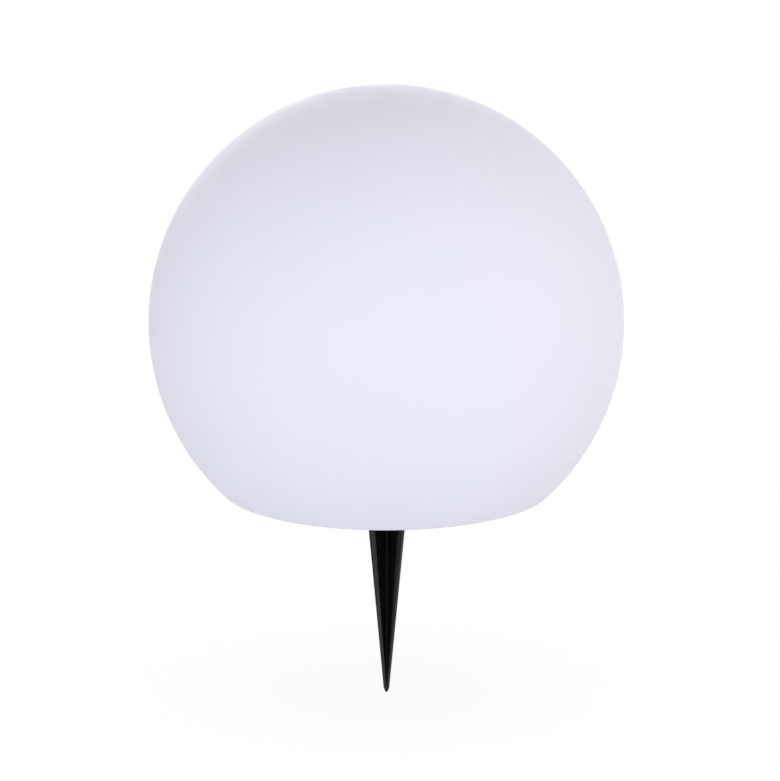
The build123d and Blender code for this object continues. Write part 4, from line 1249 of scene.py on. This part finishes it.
@dataclass
class LampAndDome(SubAssembly):
    """Lamp board with its chips under the frosted dome."""

    outer_chips: int = 8
    inner_chips: int = 4
    inner_radius_mm: float = 10.0
    chip_size_mm: float = 5.0
    window_diameter_mm: float = 3.5
    window_depth_mm: float = 0.4
    gel_corners: int = 24
    gel_side_mm: float = 0.25
    gel_rings_mm: tuple[Pair, ...] = ((0.3, 0.12), (0.45, 0.08), (0.5, 0.03))
    lead_ends_mm: tuple[Pair, ...] = ((-1.3, -30.033), (1.3, -30.033))

    def build(self) -> None:
        """Dress the lamp, and add its phosphor domes and solder joints."""
        self.dress(LAMP_LACQUER, "led_board")
        self.dress(CHIP_FRAME, "led_chips")
        self.dress(FROSTED_DOME, "led_dome")
        self.dress(EPDM_RUBBER, "dome_seal")
        self.dress(LAMP_LEADS, "led_leads")
        self.dress(TUMBLED_STAINLESS, "led_board_screws", "dome_screws")
        self.add_phosphor()
        _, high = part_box("led_board")
        self.keep(SolderJoint().at_each("lamp_solder", self.lead_ends_mm, high.z / MM),
                  TIN_SOLDER, "nickel")

    def add_phosphor(self) -> None:
        """Add the domed gel in each chip's window, in an outer and an inner ring."""
        _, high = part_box("led_chips")
        outer_radius = high.x / MM - self.chip_size_mm / 2
        bench = Bench("phosphor_1", Start.DISC,
                      Vector((outer_radius * MM, 0.0, high.z - self.window_depth_mm * MM)),
                      (self.window_diameter_mm, 0.0, 0.0), self.gel_corners)
        bench.pick()
        bench.extrude((0.0, 0.0, self.gel_side_mm))
        for width, rise in self.gel_rings_mm:
            bench.inset(width, rise)
        outer = all_round(bench.done(60.0), "phosphor", self.outer_chips)
        number = self.outer_chips + 1
        turn = 180 / self.inner_chips
        shift = self.inner_radius_mm - outer_radius
        move = (shift * cos(radians(turn)), shift * sin(radians(turn)), 0.0)
        first_inner = copy_at(outer[0], f"phosphor_{number}", move, turn)
        inner = all_round(first_inner, "phosphor", self.inner_chips, first=number)
        self.keep(outer + inner, PHOSPHOR_GEL, "lamp_chips")


@dataclass
class CellTray(SubAssembly):
    """The rechargeable cell in its holder, with its contacts."""

    def build(self) -> None:
        """Dress the cell, holder and contacts."""
        self.dress(BLUE_SLEEVE, "battery_cell")
        self.dress(BLACK_NYLON, "battery_holder")
        self.dress(TUMBLED_STAINLESS, "battery_holder_screws")
        self.dress(NICKEL_PLATE, "battery_spring_contact", "battery_plate_contact")
        self.dress(LAMP_LEADS, "battery_leads")


@dataclass
class ControlBoard(SubAssembly):
    """The control board with its parts, legs and solder joints."""

    board_y_mm: float = -28.5
    controller_x_mm: float = -4.5
    controller_size_mm: float = 7.0
    legs_on_a_side: int = 8
    leg_pitch_mm: float = 0.8
    leg_size_mm: Triple = (0.3, 0.32, 0.15)
    leg_gap_mm: float = 0.05
    leg_height_mm: float = 0.75
    leg_bends_mm: tuple[Triple, ...] = ((0.25, 0.0, -0.1), (0.12, 0.0, -0.5), (0.4, 0.0, -0.07))
    leg_rounding_mm: float = 0.02
    lead_ends_mm: tuple[Pair, ...] = (
        (-3.9, -37.5), (3.9, -37.5), (-6.0, -22.5), (6.0, -22.5),
        (-11.0, -26.3), (-11.0, -30.7), (11.0, -26.3), (11.0, -30.7))

    def build(self) -> None:
        """Dress the board and add the controller's legs and the solder joints."""
        self.dress(GREEN_BOARD, "control_board")
        self.dress(BOARD_PARTS, "board_components")
        self.dress(TUMBLED_STAINLESS, "control_board_screws")
        _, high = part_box("control_board")
        board_top = high.z / MM
        self.keep(SolderJoint().at_each("board_solder", self.lead_ends_mm, board_top),
                  TIN_SOLDER, "nickel")
        self.add_legs(board_top)

    def add_legs(self, board_top_mm: float) -> None:
        """Add the bent legs on the four sides of the controller.

        Args:
            board_top_mm: height of the board's upper face.
        """
        first_x = self.controller_x_mm + self.controller_size_mm / 2 + self.leg_gap_mm
        first_y = self.board_y_mm - self.leg_pitch_mm * (self.legs_on_a_side - 1) / 2
        place = Vector((first_x, first_y, board_top_mm + self.leg_height_mm)) * MM
        bench = Bench("controller_legs_1", Start.BLOCK, place, self.leg_size_mm)
        bench.pick(lambda spot, normal: normal.x > 0.9)
        for bend in self.leg_bends_mm:
            bench.extrude(bend)
        bench.bevel_sharp(self.leg_rounding_mm, segments=1, sharper_than=60.0)
        leg = bench.done()
        row = [leg] + [copy_at(leg, "leg", (0.0, number * self.leg_pitch_mm, 0.0))
                       for number in range(1, self.legs_on_a_side)]
        side = joined("controller_legs_1", row)
        centre = (self.controller_x_mm, self.board_y_mm, 0.0)
        self.keep(all_round(side, "controller_legs", 4, about_mm=centre), TIN_SOLDER, "nickel")


# ---------------------------------------------------------------- studio
@dataclass(frozen=True)
class Softbox:
    """A large soft lamp, aimed at the light."""

    name: str
    place: Triple
    size: float
    watts: float
    colour: str = "#FFFFFF"
    aim: Triple = (0.0, 0.0, 0.1)

    def hang(self) -> None:
        """Put the lamp in the scene."""
        lamp = bpy.data.lights.new(self.name, "AREA")
        lamp.shape = "DISK"
        lamp.size = self.size
        lamp.energy = self.watts
        lamp.color = linear(self.colour)[:3]
        holder = bpy.data.objects.new(self.name, lamp)
        holder.location = self.place
        direction = Vector(self.aim) - holder.location
        holder.rotation_euler = direction.to_track_quat("-Z", "Y").to_euler()
        bpy.context.scene.collection.objects.link(holder)


@dataclass
class Studio:
    """Plain pale floor, soft light and white surroundings."""

    floor_radius: float = 9.0
    floor_corners: int = 96
    floor_glow: float = 0.81
    floor_share: str = "#8A8A8A"
    floor_colour: str = "#F4F4F4"
    ambient: float = 0.69
    softboxes: tuple[Softbox, ...] = (
        Softbox("front_softbox", (0.0, -4.2, 0.6), 2.5, 25.0),
        Softbox("right_softbox", (4.0, -0.9, 0.4), 2.5, 41.0),
        Softbox("low_left_softbox", (-0.7, -1.5, 0.0), 0.6, 5.2, "#EAEDFF"),
        Softbox("back_softbox", (-0.6, 4.2, 0.6), 2.5, 30.0),
    )

    def build(self) -> None:
        """Set up the floor, the world and the lamps."""
        self.add_floor()
        self.light_world()
        for softbox in self.softboxes:
            softbox.hang()
        bpy.context.scene.view_settings.view_transform = "Standard"

    def add_floor(self) -> None:
        """Add the round floor that the spike's point touches."""
        bpy.ops.object.select_all(action="DESELECT")
        bpy.ops.mesh.primitive_circle_add(vertices=self.floor_corners, radius=self.floor_radius,
                                          fill_type="NGON", location=(0.0, 0.0, cad_box[0].z))
        floor = bpy.context.active_object
        floor.name = "studio_floor"
        recipe = Recipe("matt_white_floor")
        output = recipe.tree.nodes["Material Output"]
        recipe.tree.nodes.remove(recipe.shader)
        glow = recipe.add("ShaderNodeEmission", {"Strength": self.floor_glow})
        shaded = recipe.add("ShaderNodeBsdfDiffuse", {"Color": linear(self.floor_share)})
        bright = recipe.add("ShaderNodeAddShader", None, {0: glow.outputs[0], 1: shaded.outputs[0]})
        plain = recipe.add("ShaderNodeBsdfDiffuse", {"Color": linear(self.floor_colour)})
        front = recipe.add("ShaderNodeMixShader", None,
                           {0: self.rays_that_see_white(recipe), 1: plain.outputs[0],
                            2: bright.outputs[0]})
        side = recipe.add("ShaderNodeNewGeometry")
        clear = recipe.add("ShaderNodeBsdfTransparent")
        both = recipe.add("ShaderNodeMixShader", None,
                          {0: side.outputs["Backfacing"], 1: front.outputs[0], 2: clear.outputs[0]})
        recipe.tree.links.new(both.outputs[0], output.inputs["Surface"])
        floor.data.materials.append(recipe.material)

    @staticmethod
    def rays_that_see_white(work: NodeWork) -> Socket:
        """Pick out the rays that meet the surroundings from the camera, a reflection or a clear piece.

        Args:
            work: node tree that the picking is added to.

        Returns:
            Socket that is one for such a ray.
        """
        ray = work.add("ShaderNodeLightPath")
        mirrored = work.add("ShaderNodeMath", None,
                            {0: ray.outputs["Is Glossy Ray"], 1: ray.outputs["Is Transmission Ray"]},
                            operation="MAXIMUM")
        seen = work.add("ShaderNodeMath", None, {0: mirrored.outputs[0], 1: ray.outputs["Is Camera Ray"]},
                        operation="MAXIMUM")
        return seen.outputs[0]

    def light_world(self) -> None:
        """Light from all round, white where the camera or a reflection sees it."""
        world = bpy.data.worlds.new("white_surroundings")
        bpy.context.scene.world = world
        world.use_nodes = True
        sky = NodeWork(world.node_tree)
        background = sky.tree.nodes["Background"]
        background.inputs["Color"].default_value = linear("#FFFFFF")
        level = sky.add("ShaderNodeMapRange", {"To Min": self.ambient, "To Max": 1.0},
                        {"Value": self.rays_that_see_white(sky)})
        sky.tree.links.new(level.outputs[0], background.inputs["Strength"])


@dataclass
class StudioCamera:
    """Camera at the photograph's angle and framing."""

    frame_px: tuple[int, int] = (780, 781)
    globe_px: tuple[float, float] = (386.4, 322.0)
    globe_centre: Triple = (0.0, 0.0, 0.108093)
    globe_radius_px: float = 237.9
    globe_radius: float = 0.15
    distance: float = 4.0
    elevation: float = 13.4
    sensor_mm: float = 36.0

    def build(self) -> None:
        """Add the camera and make it the scene's."""
        lean = self.globe_radius / self.distance
        focal_px = self.globe_radius_px / tan(atan(lean / (1 - lean * lean) ** 0.5))
        camera = bpy.data.cameras.new("photo_camera")
        camera.sensor_width = self.sensor_mm
        camera.lens = focal_px * self.sensor_mm / max(self.frame_px)
        holder = bpy.data.objects.new("photo_camera", camera)
        bpy.context.scene.collection.objects.link(holder)
        tilt = radians(self.elevation)
        back = Vector((0.0, -cos(tilt), sin(tilt)))
        right = Vector((1.0, 0.0, 0.0))
        above = right.cross(-back)
        metres_per_px = self.distance / focal_px
        off_right = (self.frame_px[0] / 2 - self.globe_px[0]) * metres_per_px
        off_down = (self.frame_px[1] / 2 - self.globe_px[1]) * metres_per_px
        globe = Vector(self.globe_centre)
        holder.location = globe + back * self.distance
        aim = globe + right * off_right - above * off_down
        holder.rotation_euler = (aim - holder.location).to_track_quat("-Z", "Y").to_euler()
        bpy.context.scene.camera = holder
        log.info("camera: %.1f mm lens", camera.lens)


def main() -> None:
    """Build every sub-assembly, then the studio and its camera."""
    logging.basicConfig(level=logging.INFO, format="%(message)s")
    sub_assemblies = (
        MouldedGlobe("globe", "globe"),
        GroundSpike("ground spike", "spike"),
        BaseUnit("base unit", "light_unit"),
        PushSwitch("push switch", "light_unit"),
        ChargingPort("charging port", "light_unit"),
        LampAndDome("lamp and dome", "light_unit"),
        CellTray("cell tray", "light_unit"),
        ControlBoard("control board", "light_unit"),
    )
    for sub_assembly in sub_assemblies:
        sub_assembly.build()
        sub_assembly.report()
    Studio().build()
    StudioCamera().build()


if __name__ == "__main__":
    main()
